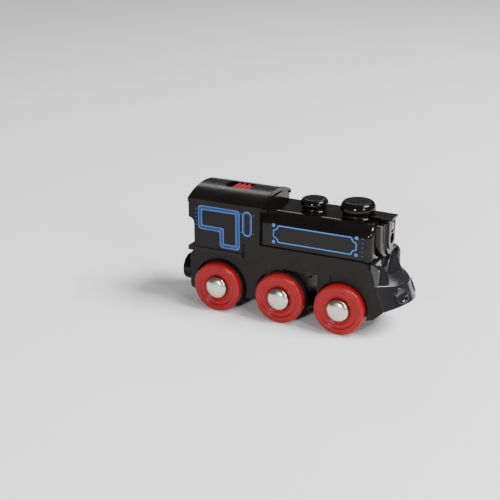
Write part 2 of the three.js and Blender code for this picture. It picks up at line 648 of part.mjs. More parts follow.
// Spur gear outline about the origin, first tooth centred at the given angle.
function gearShape(teeth, module, angle, bore, flankPoints) {
  const pitch = (teeth * module) / 2;
  const base = pitch * Math.cos(PRESSURE);
  const tip = pitch + ADDENDUM * module;
  const root = pitch - DEDENDUM * module;
  const halfAtPitch = (0.46 * Math.PI) / teeth;
  const halfAt = (r) => {
    const a = Math.acos(Math.min(1, base / Math.max(r, base)));
    return halfAtPitch + involute(PRESSURE) - involute(a);
  };
  const radii = base > root ? [root] : [];
  const low = Math.max(base, root);
  for (let i = 0; i < flankPoints; i += 1) radii.push(low + ((tip - low) * i) / (flankPoints - 1));
  const points = [];
  const put = (r, a) => points.push(new THREE.Vector2(r * Math.cos(a), r * Math.sin(a)));
  for (let k = 0; k < teeth; k += 1) {
    const centre = angle + (2 * Math.PI * k) / teeth;
    radii.forEach((r) => put(r, centre - halfAt(r)));
    [...radii].reverse().forEach((r) => put(r, centre + halfAt(r)));
  }
  const shape = new THREE.Shape(points);
  const hole = new THREE.Path();
  hole.absarc(0, 0, bore, 0, Math.PI * 2, true);
  shape.holes.push(hole);
  return shape;
}

const IDLER = { teeth: 44, module: 0.5 };
const AXLE_GEAR = { teeth: 18, module: 0.5 };
const SLOW_PINION = { teeth: 12, module: 0.5 };
const FAST_PINION = { teeth: 12, module: 0.4 };
const WHEEL_GEAR = { teeth: 36, module: 0.4 };
const centreDistance = (a, b) => (a.module * (a.teeth + b.teeth)) / 2 + GEAR_MESH_GAP;

const idlerReach = centreDistance(IDLER, AXLE_GEAR);
const idlerX = (AXLE_X.rear + AXLE_X.middle) / 2;
const idlerZ = AXLE_Z + Math.sqrt(idlerReach ** 2 - (AXLE_X.middle - idlerX) ** 2);
const from = (p, reach, degrees) => ({
  x: p.x + reach * Math.cos((degrees * Math.PI) / 180),
  z: p.z + reach * Math.sin((degrees * Math.PI) / 180),
});
const idlerAt = { x: idlerX, z: idlerZ };
const secondAt = from(idlerAt, centreDistance(IDLER, SLOW_PINION), 45);
const firstAt = from(secondAt, centreDistance(WHEEL_GEAR, FAST_PINION), -5);
const motorAt = from(firstAt, centreDistance(WHEEL_GEAR, FAST_PINION), 10);

// Phase of gear B that meshes with gear A: a tooth of one faces a gap of the other.
function meshedAngle(aAt, a, aAngle, bAt, b) {
  const line = Math.atan2(bAt.z - aAt.z, bAt.x - aAt.x);
  const toothsPast = ((line - aAngle) * a.teeth) / (2 * Math.PI);
  return line + Math.PI - ((0.5 - toothsPast) * 2 * Math.PI) / b.teeth;
}

const LAYER = { slow: [-3.8, -1.4], middle: [-6.2, -4.2], fast: [-8.5, -6.6] };
const SHAFT_R = 0.75;
const SHAFT_BORE = 0.82;

function gearSolid(at, gear, angle, layer, bore, flankPoints) {
  return plateY(gearShape(gear.teeth, gear.module, angle, bore, flankPoints), layer[0], layer[1], 7)
    .translate([at.x, 0, at.z]);
}

function makeGears() {
  const idlerAngle = 0;
  const rearAt = { x: AXLE_X.rear, z: AXLE_Z };
  const middleAt = { x: AXLE_X.middle, z: AXLE_Z };
  piece('idler_gear', gearSolid(idlerAt, IDLER, idlerAngle, LAYER.slow, SHAFT_BORE, 2), GEAR_WHITE);
  for (const [name, at] of [['rear_axle_gear', rearAt], ['middle_axle_gear', middleAt]]) {
    const angle = meshedAngle(idlerAt, IDLER, idlerAngle, at, AXLE_GEAR);
    piece(name, gearSolid(at, AXLE_GEAR, angle, LAYER.slow, AXLE_BORE, 2), GEAR_WHITE);
  }
  const slowAngle = meshedAngle(idlerAt, IDLER, idlerAngle, secondAt, SLOW_PINION);
  const second = joined(
    gearSolid(secondAt, SLOW_PINION, slowAngle, [LAYER.middle[1] - 0.1, LAYER.slow[1]], SHAFT_BORE, 3),
    gearSolid(secondAt, WHEEL_GEAR, slowAngle, LAYER.middle, SHAFT_BORE, 2));
  piece('compound_gear_2', second, GEAR_WHITE);
  const firstAngle = meshedAngle(secondAt, WHEEL_GEAR, slowAngle, firstAt, FAST_PINION);
  const first = joined(
    gearSolid(firstAt, FAST_PINION, firstAngle, [LAYER.fast[1] - 0.1, LAYER.middle[1]], SHAFT_BORE, 3),
    gearSolid(firstAt, WHEEL_GEAR, firstAngle, LAYER.fast, SHAFT_BORE, 2));
  piece('compound_gear_1', first, GEAR_WHITE);
  const pinionAngle = meshedAngle(firstAt, WHEEL_GEAR, firstAngle, motorAt, FAST_PINION);
  piece('motor_pinion', gearSolid(motorAt, FAST_PINION, pinionAngle, LAYER.fast, 0.54, 3), BRASS);
  piece('idler_shaft', rodY(idlerAt.x, idlerAt.z, SHAFT_R, -GEARBOX_HALF, GEARBOX_HALF, 12), STEEL);
  piece('gear_shaft_2', rodY(secondAt.x, secondAt.z, SHAFT_R, -GEARBOX_HALF, GEARBOX_HALF, 12), STEEL);
  piece('gear_shaft_1', rodY(firstAt.x, firstAt.z, SHAFT_R, -GEARBOX_HALF, GEARBOX_HALF, 12), STEEL);
}

// ---------------------------------------------------------------------- motor
const MOTOR = { y0: -5.7, y1: 8.5, halfX: 6, halfZ: 5 };

function makeMotor() {
  const { x, z } = motorAt;
  const can = rodY(x, z, MOTOR.halfX, MOTOR.y0, MOTOR.y1, 24)
    .intersect(box(x - 7, x + 7, MOTOR.y0, MOTOR.y1, z - MOTOR.halfZ, z + MOTOR.halfZ));
  const boss = rodY(x, z, 1.6, MOTOR.y0 - 0.5, MOTOR.y0 + 0.1, 14);
  const shaftWay = rodY(x, z, 0.56, MOTOR.y0 - 1, MOTOR.y0 + 2.2, 12);
  piece('motor', cut(can.add(boss), shaftWay), STEEL);
  piece('motor_shaft', rodY(x, z, 0.5, -8.6, MOTOR.y0 + 2, 12), STEEL);
}

// -------------------------------------------------------------- gearbox frame
function makeGearbox() {
  const outline = shapeOf([
    [GEARBOX_REAR, 7.25], [GEARBOX_REAR, 19], [-24, 28], [-17, 30.4], [24, 30.4], [24, 23.6],
    [GEARBOX_FRONT, 20], [GEARBOX_FRONT, 7.25]]);
  const outer = plateY(outline, -GEARBOX_HALF, GEARBOX_HALF);
  const room = box(-60, 30, GEARBOX_WALL - GEARBOX_HALF, GEARBOX_HALF - GEARBOX_WALL, 0, 40);
  const frontWall = box(GEARBOX_FRONT - 1, GEARBOX_FRONT, -GEARBOX_HALF, GEARBOX_HALF, 7.25, 18.4);
  const rearWall = box(GEARBOX_REAR, GEARBOX_REAR + 0.9, -GEARBOX_HALF, GEARBOX_HALF, 14, 18.6);
  const motorBed = cut(box(15, 18.4, -GEARBOX_HALF, GEARBOX_HALF, 21.9, 22.9),
    box(0, 30, -GEARBOX_HALF + 0.9, -5.2, 21, 23.5));
  const terminalWindow = box(13, 20, GEARBOX_HALF - 1.5, GEARBOX_HALF + 1, 26, 31);
  const axleSlots = [AXLE_X.rear, AXLE_X.middle].map((x) =>
    box(x - AXLE_R - 0.1, x + AXLE_R + 0.1, -11, 11, 0, AXLE_Z + AXLE_R + 0.12));
  const bores = [idlerAt, secondAt, firstAt].map((p) => rodY(p.x, p.z, SHAFT_R + 0.03, -11, 11, 12));
  const frame = cut(outer, room).add(frontWall).add(rearWall).add(motorBed);
  piece('gearbox_frame', cut(frame, terminalWindow, ...axleSlots, ...bores), BLACK_GLOSS);
}

// ----------------------------------------------------------------- electrics
function makeElectrics() {
  const cell = turnedY([
    [0, 0], [5.2, 0], [5.2, 42.2], [4.7, 43], [1.9, 43], [1.9, 44], [0, 44]], 24);
  cell.rotateZ(-Math.PI / 2);
  cell.translate(-11.5, 0, 38.4);
  piece('battery_cell', solid(cell), CELL_BLUE);
  const board = box(-36.6, -12.4, -10.5, 10.5, 31.4, 32.6);
  const parts = joined(
    box(-28, -23, -8, -3, 32.5, 33.6),
    box(-20, -17, 2, 8, 32.5, 34.6),
    box(-31, -29.4, 4, 7, 32.5, 33.3));
  piece('circuit_board', board.add(parts), BOARD_GREEN);
  const shell = cut(box(-38.2, -36.9, -4, 4, 30.0, 33.3), box(-39, -37.3, -3.5, 3.5, 30.6, 32.9));
  piece('charging_socket', shell, STEEL);
}

// Insulated wire: a thin round tube along a smooth curve.
function wire(name, points, finishOf) {
  const path = new THREE.CatmullRomCurve3(points.map((p) => new THREE.Vector3(...p)));
  const section = new THREE.Shape();
  section.absarc(0, 0, 0.45, 0, Math.PI * 2, false);
  const geometry = new THREE.ExtrudeGeometry(section, { steps: 14, curveSegments: 4, extrudePath: path });
  piece(name, solid(geometry), finishOf);
}

function makeWires() {
  const terminalZ = motorAt.z + 0.6;
  wire('motor_wire_red', [[motorAt.x - 2.2, 9.1, terminalZ], [motorAt.x - 2.4, 9.4, 31], [10, 9.9, 34.4],
    [-6, 9.9, 34.4], [-11.6, 9.2, 33.6]], COPPER_RED);
  wire('motor_wire_black', [[motorAt.x + 2.2, 9.1, terminalZ], [motorAt.x + 2.4, 9.4, 31.4], [12, 9.9, 36],
    [-6, 9.9, 36], [-11.6, 7.6, 34.4]], WIRE_BLACK);
  wire('lamp_wire', [[-11.6, -8.6, 34.6], [-4, -8.9, 36], [20, -8.9, 36.4], [32, -7.2, 37.6],
    [34.4, -3, 40.6]], COPPER_RED);
}

// --------------------------------------------------------------- running gear
// Profile of the wheel, out from its back face: [radius, distance from back].
function wheelGeometry(hasTyre) {
  const width = WHEEL_FACE - WHEEL_BACK;
  const rim = WHEEL_R;
  const seat = TYRE_EDGE - WHEEL_BACK;
  const back = hasTyre
    ? [[TYRE_SEAT, 0], [TYRE_SEAT, seat], [rim, seat]]
    : [[rim, 0]];
  const well = CAP_R + 0.3;
  return turnedY([
    [AXLE_BORE, 0], ...back, [rim, width - 1], [rim - 1, width], [well, width],
    [well, width - 1.6], [AXLE_BORE, width - 1.6], [AXLE_BORE, 0]], WHEEL_SIDES);
}

function tyreGeometry() {
  const edge = TYRE_EDGE - WHEEL_BACK - 0.05;
  const inside = TYRE_SEAT + 0.02;
  return turnedY([
    [inside, 0.02], [WHEEL_R, 0.02], [WHEEL_R, edge], [inside, edge], [inside, 0.02]], WHEEL_SIDES);
}

function capGeometry() {
  const foot = WHEEL_FACE - WHEEL_BACK - 1.55;
  return turnedY([
    [0, foot], [CAP_R, foot], [CAP_R, foot + 1.3], [CAP_R * 0.7, foot + 2.6],
    [0, foot + 1.25 + CAP_BULGE]], 20);
}

function placedWheelPart(geometry, x, side) {
  geometry.translate(0, WHEEL_BACK, 0);
  if (side < 0) geometry.rotateX(Math.PI);
  geometry.translate(x, 0, AXLE_Z);
  return solid(geometry);
}

function makeRunningGear() {
  for (const [name, x] of Object.entries(AXLE_X)) {
    piece(`${name}_axle`, rodY(x, AXLE_Z, AXLE_R, -15.1, 15.1, 20), STEEL);
    for (const [sideName, side] of [['left', 1], ['right', -1]]) {
      const hasTyre = name !== 'front';
      piece(`${name}_wheel_${sideName}`, placedWheelPart(wheelGeometry(hasTyre), x, side), RED);
      if (hasTyre) piece(`${name}_tyre_${sideName}`, placedWheelPart(tyreGeometry(), x, side), RUBBER);
      piece(`${name}_cap_${sideName}`, placedWheelPart(capGeometry(), x, side), CHROME);
    }
  }
}

// -------------------------------------------------------------- rear coupling
function makeRearCoupling() {
  const { face, z, r, pivotX } = COUPLING;
  const holder = joined(
    rodX(0, z, r, face, -45.2, 28),
    rodX(0, z, r, -45.3, -42.6, 28, 3.6),
    box(-44, pivotX, -2.2, 2.2, z - 1.6, z + 1.6),
    rodZ(pivotX, 0, 2.9, z - 1.6, z + 1.6, 20));
  const pocket = rodX(0, z, MAGNET_R + 0.03, face - 1, face + 2.4, 24);
  const pinHole = rodZ(pivotX, 0, 1.04, z - 4, z + 4, 16);
  piece('rear_coupling', cut(holder, pocket, pinHole), BLACK_GLOSS);
  piece('rear_magnet', rodX(0, z, MAGNET_R, face, face + 2.3, 24), STEEL);
  piece('coupling_pin', rodZ(pivotX, 0, 1.0, CHASSIS_BOTTOM + 0.1, 16.2, 16), STEEL);
}

makeBoilerShell();
makeCabShell();
makeCabRoof();
makeSwitch();
makeMountings();
makeSmokeboxFront();
makeChassis();
makePilot();
makeBaseCover();
makeScrews();
makeGears();
makeMotor();
makeGearbox();
makeElectrics();
makeWires();
makeRunningGear();
makeRearCoupling();

group.position.x = -MIDDLE_X;
const locomotive = new THREE.Group();
locomotive.add(group);

export default locomotive;
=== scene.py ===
import json
import math

import bmesh
import bpy
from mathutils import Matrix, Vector


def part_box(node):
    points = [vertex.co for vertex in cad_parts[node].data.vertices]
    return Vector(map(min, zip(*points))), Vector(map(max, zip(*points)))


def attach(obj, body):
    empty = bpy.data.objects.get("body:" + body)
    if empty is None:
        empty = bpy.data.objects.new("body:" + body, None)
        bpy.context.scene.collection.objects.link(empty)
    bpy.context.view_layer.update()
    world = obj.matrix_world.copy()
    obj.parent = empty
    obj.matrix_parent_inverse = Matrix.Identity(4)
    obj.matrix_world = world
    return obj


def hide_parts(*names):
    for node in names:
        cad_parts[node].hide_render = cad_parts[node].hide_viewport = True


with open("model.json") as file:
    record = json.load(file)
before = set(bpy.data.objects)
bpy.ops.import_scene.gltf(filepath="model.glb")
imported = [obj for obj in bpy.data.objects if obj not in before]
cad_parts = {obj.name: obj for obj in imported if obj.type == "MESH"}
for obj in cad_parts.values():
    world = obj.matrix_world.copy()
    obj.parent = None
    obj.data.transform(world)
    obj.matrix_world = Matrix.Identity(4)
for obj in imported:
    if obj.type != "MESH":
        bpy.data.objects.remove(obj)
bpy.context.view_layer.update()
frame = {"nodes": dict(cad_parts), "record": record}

MM = 0.001
BODY = "body"
scene = bpy.context.scene


def centre(node):
    low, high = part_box(node)
    return (low + high) / 2


# Lengths below are millimetres along the chassis, as in the CAD source, where the
# middle axle stands at this X. SHIFT moves them into the row frame.
MIDDLE_AXLE_X = 1.3
SHIFT = centre("middle_axle").x / MM - MIDDLE_AXLE_X

PARTING_Z = 31.0
BOILER = {"half": 13.0, "top": 45.3, "front": 38.8, "round": 5.5, "wall": 1.5}
CAB = {"half": 14.4, "rear": -40.9, "waist": -38.4, "front": -8.3}
EAVE_Z = 47.1
ROOF_APEX = 50.9
STEP_X = -15.9
STEP_Z = 24.4
LEDGE_TOP = 26.4
AXLE_Z = 10.5
AXLE_X = {"rear": -26.9, "middle": 1.3, "front": 27.1}


# ------------------------------------------------------------------ mesh tools
def make(name, points, faces):
    mesh = bpy.data.meshes.new(name)
    mesh.from_pydata([((x + SHIFT) * MM, y * MM, z * MM) for x, y, z in points], [], faces)
    bm = bmesh.new()
    bm.from_mesh(mesh)
    bmesh.ops.remove_doubles(bm, verts=bm.verts, dist=1e-7)
    bmesh.ops.recalc_face_normals(bm, faces=bm.faces)
    bm.to_mesh(mesh)
    bm.free()
    obj = bpy.data.objects.new(name, mesh)
    scene.collection.objects.link(obj)
    return obj


def skin(name, rings, closed=False):
    """Closed mesh through rings of equally many points; caps close the two ends."""
    count = len(rings[0])
    points = [p for ring in rings for p in ring]
    faces = []
    steps = len(rings) if closed else len(rings) - 1
    for i in range(steps):
        here, there = i * count, ((i + 1) % len(rings)) * count
        for k in range(count):
            n = (k + 1) % count
            faces.append((here + k, here + n, there + n, there + k))
    if not closed:
        faces.append(tuple(range(count)))
        faces.append(tuple(range(len(points) - count, len(points))))
    return make(name, points, faces)


def placed(axis, u, v, w):
    """Point with w along the axis; u and v are the other two in X, Y, Z order."""
    return {"x": (w, u, v), "y": (u, w, v), "z": (u, v, w)}[axis]


def prism(name, outline, axis, low, high):
    return skin(name, [[placed(axis, u, v, w) for u, v in outline] for w in (low, high)])


def block(name, x0, x1, y0, y1, z0, z1):
    return prism(name, [(x0, y0), (x1, y0), (x1, y1), (x0, y1)], "z", z0, z1)


def turned(name, profile, axis, u0, v0, sides=96, direction=1.0, base=0.0):
    """Solid of revolution: profile points are (radius, distance along the axis)."""
    rings = []
    for r, w in profile:
        ring = []
        for k in range(sides):
            a = 2 * math.pi * k / sides
            r_here = max(r, 1e-4)
            u, v = u0 + r_here * math.cos(a), v0 + r_here * math.sin(a)
            ring.append(placed(axis, u, v, base + direction * w))
        rings.append(ring)
    return skin(name, rings)


def ring_of(name, profile, axis, u0, v0, sides=96, direction=1.0, base=0.0):
    """As turned, for a profile that goes once round and leaves a hole."""
    rings = []
    for k in range(sides):
        a = 2 * math.pi * k / sides
        rings.append([placed(axis, u0 + r * math.cos(a), v0 + r * math.sin(a),
                             base + direction * w) for r, w in profile])
    return skin(name, rings, closed=True)


def rod(name, axis, u0, v0, r, low, high, sides=64):
    return turned(name, [(r, low), (r, high)], axis, u0, v0, sides)


def applied(obj):
    graph = bpy.context.evaluated_depsgraph_get()
    mesh = bpy.data.meshes.new_from_object(obj.evaluated_get(graph))
    old = obj.data
    obj.modifiers.clear()
    obj.data = mesh
    bpy.data.meshes.remove(old)
    return obj


def combined(obj, tools, operation):
    for tool in tools:
        modifier = obj.modifiers.new("join", "BOOLEAN")
        modifier.operation = operation
        modifier.solver = "MANIFOLD"
        modifier.object = tool
        applied(obj)
        mesh = tool.data
        bpy.data.objects.remove(tool)
        bpy.data.meshes.remove(mesh)
    return obj


def cut(obj, *tools):
    return combined(obj, tools, "DIFFERENCE")


def joined(obj, *tools):
    return combined(obj, tools, "UNION")


def common(obj, *tools):
    return combined(obj, tools, "INTERSECT")


def tidy(obj):
    """Joins the short slivers that cutting leaves, so that bevels stay clean."""
    bm = bmesh.new()
    bm.from_mesh(obj.data)
    bmesh.ops.remove_doubles(bm, verts=bm.verts, dist=2e-5)
    bmesh.ops.dissolve_limit(
        bm, angle_limit=math.radians(0.6), verts=bm.verts, edges=bm.edges)
    bm.to_mesh(obj.data)
    bm.free()


def softened(obj, width, segments=3, angle=38):
    """Rounds the sharp edges, as the radii of a mould do."""
    tidy(obj)
    bevel = obj.modifiers.new("edges", "BEVEL")
    bevel.width = width * MM
    bevel.segments = segments
    bevel.limit_method = "ANGLE"
    bevel.angle_limit = math.radians(angle)
    bevel.use_clamp_overlap = True
    bevel.miter_outer = "MITER_ARC"
    return applied(obj)


def shaded(obj, angle=50):
    mesh = obj.data
    mesh.shade_smooth()
    mesh.set_sharp_from_angle(angle=math.radians(angle))
    normals = obj.modifiers.new("normals", "WEIGHTED_NORMAL")
    normals.keep_sharp = True
    normals.weight = 60
    return applied(obj)


def piece(obj, material, body, slot, *nodes, smooth=50):
    shaded(obj, smooth)
    obj.data.materials.clear()
    obj.data.materials.append(material)
    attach(obj, body)
    if nodes:
        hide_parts(*nodes)
    return obj


def arc(cx, cy, r, start, end, count):
    """Points of a circular arc, angles in degrees."""
    points = []
    for k in range(count + 1):
        a = math.radians(start + (end - start) * k / count)
        points.append((cx + r * math.cos(a), cy + r * math.sin(a)))
    return points


def curve(p0, p1, p2, count):
    """Points of a quadratic curve, without its first point."""
    points = []
    for k in range(1, count + 1):
        t = k / count
        points.append(tuple(
            (1 - t) ** 2 * a + 2 * t * (1 - t) * b + t * t * c for a, b, c in zip(p0, p1, p2)))
    return points


# ------------------------------------------------------------------- materials
class Nodes:
    """Small helper that adds and links shader nodes of one material."""

    def __init__(self, name):
        self.material = bpy.data.materials.new(name)
        self.material.use_nodes = True
        self.tree = self.material.node_tree
        self.shader = self.tree.nodes["Principled BSDF"]
        self.coordinates = self.add("ShaderNodeTexCoord").outputs["Object"]

    def add(self, kind, **values):
        node = self.tree.nodes.new(kind)
        for key, value in values.items():
            setattr(node, key, value)
        return node

    def link(self, source, target):
        self.tree.links.new(source, target)

    def noise(self, per_metre, detail=3.0, rough=0.55):
        node = self.add("ShaderNodeTexNoise")
        node.inputs["Scale"].default_value = per_metre
        node.inputs["Detail"].default_value = detail
        node.inputs["Roughness"].default_value = rough
        self.link(self.coordinates, node.inputs["Vector"])
        return node.outputs["Fac"]

    def spread(self, value, low, high, start=0.35, end=0.65):
        """Maps a noise value to the range from low to high."""
        node = self.add("ShaderNodeMapRange")
        node.inputs["From Min"].default_value = start
        node.inputs["From Max"].default_value = end
        node.inputs["To Min"].default_value = low
        node.inputs["To Max"].default_value = high
        self.link(value, node.inputs["Value"])
        return node.outputs["Result"]

    def mixed(self, factor, first, second):
        node = self.add("ShaderNodeMix", data_type="RGBA")
        self.link(factor, node.inputs["Factor"])
        for socket, colour in (("A", first), ("B", second)):
            target = [i for i in node.inputs if i.name == socket and i.type == "RGBA"][0]
            if isinstance(colour, tuple):
                target.default_value = (*colour, 1.0)
            else:
                self.link(colour, target)
        return [o for o in node.outputs if o.type == "RGBA"][0]

    def bump(self, value, height_mm, strength=1.0, after=None):
        node = self.add("ShaderNodeBump")
        node.inputs["Distance"].default_value = height_mm * MM
        node.inputs["Strength"].default_value = strength
        self.link(value, node.inputs["Height"])
        if after is not None:
            self.link(after, node.inputs["Normal"])
        return node.outputs["Normal"]


def moulded(name, first, second, rough, grain=0.0, wave=0.0, specular=0.5):
    """Moulded plastic: slight colour drift, flow marks, fine grain and handling wear."""
    n = Nodes(name)
    drift = n.spread(n.noise(90.0, 4.0), 0.0, 1.0)
    n.link(n.mixed(drift, first, second), n.shader.inputs["Base Color"])
    wear = n.noise(700.0, 5.0, 0.7)
    n.link(n.spread(wear, rough * 0.82, rough * 1.22), n.shader.inputs["Roughness"])
    normal = None
    if wave:
        normal = n.bump(n.noise(160.0, 1.0), wave, 0.6)
    if grain:
        normal = n.bump(n.noise(5200.0, 2.0), grain, 0.7, normal)
    if normal is not None:
        n.link(normal, n.shader.inputs["Normal"])
    n.shader.inputs["Specular IOR Level"].default_value = specular
    return n.material


def metal(name, first, second, rough, brushed=0.0, axis=1):
    """Bare or plated metal with faint stains and, if asked, a turned or drawn grain."""
    n = Nodes(name)
    n.shader.inputs["Metallic"].default_value = 1.0
    stain = n.spread(n.noise(260.0, 4.0), 0.0, 1.0)
    n.link(n.mixed(stain, first, second), n.shader.inputs["Base Color"])
    n.link(n.spread(n.noise(900.0, 4.0, 0.7), rough * 0.7, rough * 1.5),
           n.shader.inputs["Roughness"])
    if brushed:
        mapping = n.add("ShaderNodeMapping")
        scale = [2600.0, 2600.0, 2600.0]
        scale[axis] = 60.0
        mapping.inputs["Scale"].default_value = scale
        n.link(n.coordinates, mapping.inputs["Vector"])
        lines = n.add("ShaderNodeTexNoise")
        lines.inputs["Scale"].default_value = 1.0
        lines.inputs["Detail"].default_value = 3.0
        n.link(mapping.outputs["Vector"], lines.inputs["Vector"])
        n.link(n.bump(lines.outputs["Fac"], 0.01, brushed), n.shader.inputs["Normal"])
    return n.material


GLOSS_BLACK = moulded("gloss_black", (0.0036, 0.0029, 0.0027), (0.0052, 0.0043, 0.004),
                      0.12, grain=0.0003, wave=0.003, specular=0.22)
# Pilot plastic with painted sheen: its base colour is lighter and bluer than the gloss black, standing in
# for the bright reflection on the pilot deck and blade.
PILOT_BLACK_PAINTED_SHEEN = moulded("pilot_black_painted_sheen", (0.0105, 0.0100, 0.0118), (0.0130, 0.0124, 0.0145),
                      0.10, grain=0.0003, wave=0.003, specular=0.55)
CAB_BLACK = moulded("cab_black", (0.0040, 0.0032, 0.0029), (0.0056, 0.0047, 0.0043),
                    0.22, grain=0.0005, wave=0.003, specular=0.18)
FRAME_BLACK = moulded("frame_black", (0.0085, 0.0069, 0.0066), (0.0112, 0.0094, 0.0090),
                      0.46, grain=0.002, specular=0.14)
INNER_BLACK = moulded("inner_black", (0.010, 0.009, 0.0085), (0.014, 0.013, 0.012), 0.35,
                      grain=0.003)
WHEEL_RED = moulded("wheel_red", (0.215, 0.0075, 0.0095), (0.245, 0.0095, 0.012), 0.22,
                    grain=0.0003, wave=0.002, specular=0.18)
KNOB_RED = moulded("knob_red", (0.26, 0.008, 0.010), (0.31, 0.010, 0.013), 0.3,
                   grain=0.0008, specular=0.2)
RUBBER = moulded("tyre_rubber", (0.010, 0.0095, 0.009), (0.016, 0.015, 0.0145), 0.72,
                 grain=0.012, specular=0.25)
CHROME = metal("cap_chrome", (0.49, 0.465, 0.40), (0.56, 0.535, 0.47), 0.22)
NICKEL = metal("magnet_nickel", (0.62, 0.61, 0.59), (0.72, 0.71, 0.69), 0.22, 0.25, 0)
STEEL = metal("bright_steel", (0.50, 0.51, 0.52), (0.60, 0.61, 0.62), 0.26, 0.4)
BRASS = metal("turned_brass", (0.62, 0.42, 0.16), (0.70, 0.50, 0.22), 0.24, 0.3)
GEAR_WHITE = moulded("gear_white", (0.70, 0.67, 0.60), (0.78, 0.75, 0.69), 0.4, grain=0.003)
CELL_WRAP = moulded("cell_wrap", (0.03, 0.10, 0.36), (0.04, 0.12, 0.40), 0.28, wave=0.01)
CLEAR = moulded("lens_clear", (0.035, 0.032, 0.027), (0.05, 0.046, 0.04), 0.1, wave=0.01)
WIRE_RED = moulded("wire_red", (0.42, 0.02, 0.02), (0.50, 0.03, 0.03), 0.4, grain=0.002)
WIRE_BLACK = moulded("wire_black", (0.012, 0.012, 0.012), (0.02, 0.02, 0.02), 0.4,
                     grain=0.002)
PRINT_LIGHT = moulded("print_light_blue", (0.022, 0.115, 0.40), (0.028, 0.135, 0.46), 0.45,
                      grain=0.002)
PRINT_DARK = moulded("print_dark_blue", (0.004, 0.026, 0.125), (0.006, 0.034, 0.16), 0.45,
                     grain=0.002)


def board_material():
    """Coated circuit board: green mask over a grid of paler tracks."""
    n = Nodes("board_mask")
    brick = n.add("ShaderNodeTexBrick")
    brick.inputs["Scale"].default_value = 260.0
    brick.inputs["Mortar Size"].default_value = 0.06
    brick.inputs["Color1"].default_value = (0.010, 0.085, 0.035, 1)
    brick.inputs["Color2"].default_value = (0.012, 0.10, 0.042, 1)
    brick.inputs["Mortar"].default_value = (0.05, 0.22, 0.09, 1)
    n.link(n.coordinates, brick.inputs["Vector"])
    n.link(brick.outputs["Color"], n.shader.inputs["Base Color"])
    n.link(n.spread(n.noise(600.0), 0.22, 0.4), n.shader.inputs["Roughness"])
    n.link(n.bump(brick.outputs["Fac"], 0.02, 0.4), n.shader.inputs["Normal"])
    return n.material


BOARD = board_material()


# ---------------------------------------------------------------- boiler shell
def boiler_section(inset=0.0, foot=PARTING_Z, count=16):
    half, top = BOILER["half"] - inset, BOILER["top"] - inset
    r = BOILER["round"] - inset
    return ([(-half, foot), (half, foot)] + arc(half - r, top - r, r, 0, 90, count)
            + arc(r - half, top - r, r, 90, 180, count))


def make_boiler():
    corner = 2.0
    steps = 10
    rings = []
    for x, inset in [(CAB["front"], 0.0)] + [
        (BOILER["front"] - corner + corner * math.sin(a), corner * (1 - math.cos(a)))
        for a in [math.pi / 2 * k / steps for k in range(steps + 1)]
    ]:
        rings.append([(x, y, z) for y, z in boiler_section(inset)])
    shell = skin("boiler_skin", rings)
    inner = [[(x, y, z) for y, z in boiler_section(BOILER["wall"], PARTING_Z - 2)]
             for x in (CAB["front"] - 2, BOILER["front"] - BOILER["wall"])]
    lamp_hole = rod("t", "x", 0, LED_Z, LED_BORE_R, BOILER["front"] - 1.6, BOILER["front"] + 1)
    cut(shell, skin("t", inner), lamp_hole)
    piece(shell, GLOSS_BLACK, BODY, "body_gloss", "boiler_shell", smooth=40)


# -------------------------------------------------------------------- cab shell
def cab_outline(inset):
    rear, waist = CAB["rear"] + inset, CAB["waist"] + inset
    front, step = CAB["front"] - inset, STEP_X - inset
    notch = [(rear, 38.7 - inset)] + curve(
        (rear, 38.7 - inset), (waist, 38.4 - inset), (waist, 35.9), 8)
    return ([(rear, STEP_Z - inset), (step, STEP_Z - inset), (step, PARTING_Z - inset),
             (front, PARTING_Z - inset), (front, EAVE_Z + 1), (rear, EAVE_Z + 1)]
            + notch + [(waist, LEDGE_TOP - inset), (rear, LEDGE_TOP - inset)])


def arched(half, eave, apex, foot, count=40):
    rise = apex - eave
    radius = (half * half + rise * rise) / (2 * rise)
    sweep = math.degrees(math.asin(half / radius))
    return [(-half, foot), (half, foot)] + arc(
        0, apex - radius, radius, 90 - sweep, 90 + sweep, count)


CAB_EAVE = EAVE_Z - 0.5
CAB_APEX = ROOF_APEX - 1.6


def make_cab():
    half, wall = CAB["half"], BOILER["wall"]
    shell = prism("cab_skin", cab_outline(0), "y", -half, half)
    common(shell, prism("t", arched(half, CAB_EAVE, CAB_APEX, 20), "x",
                        CAB["rear"] - 1, CAB["front"] + 1))
    ledge = block("t", CAB["rear"] - 0.2, STEP_X, -half - 0.4, half + 0.4, STEP_Z, LEDGE_TOP)
    joined(shell, ledge)
    room = prism("t", cab_outline(wall), "y", wall - half, half - wall)
    top = block("t", CAB["rear"] + wall, CAB["front"] - wall, wall - half, half - wall, 40, 60)
    boiler_way = prism("t", boiler_section(wall, PARTING_Z - 2), "x",
                       CAB["front"] - 3, CAB["front"] + 1)
    skirt_way = block("t", STEP_X - 3, STEP_X + 1, wall - half, half - wall, 20, PARTING_Z)
    socket = block("t", CAB["waist"] - 1, CAB["waist"] + 3, -4.2, 4.2, 29.9, 33.4)
    cut(shell, room, top, boiler_way, skirt_way, socket)
    softened(shell, 0.32, 4)
    piece(shell, CAB_BLACK, BODY, "body_gloss", "cab_shell", smooth=40)


SLOT_X = -24.2
SLOT_LENGTH = 11.0
SLOT_WIDTH = 7.6


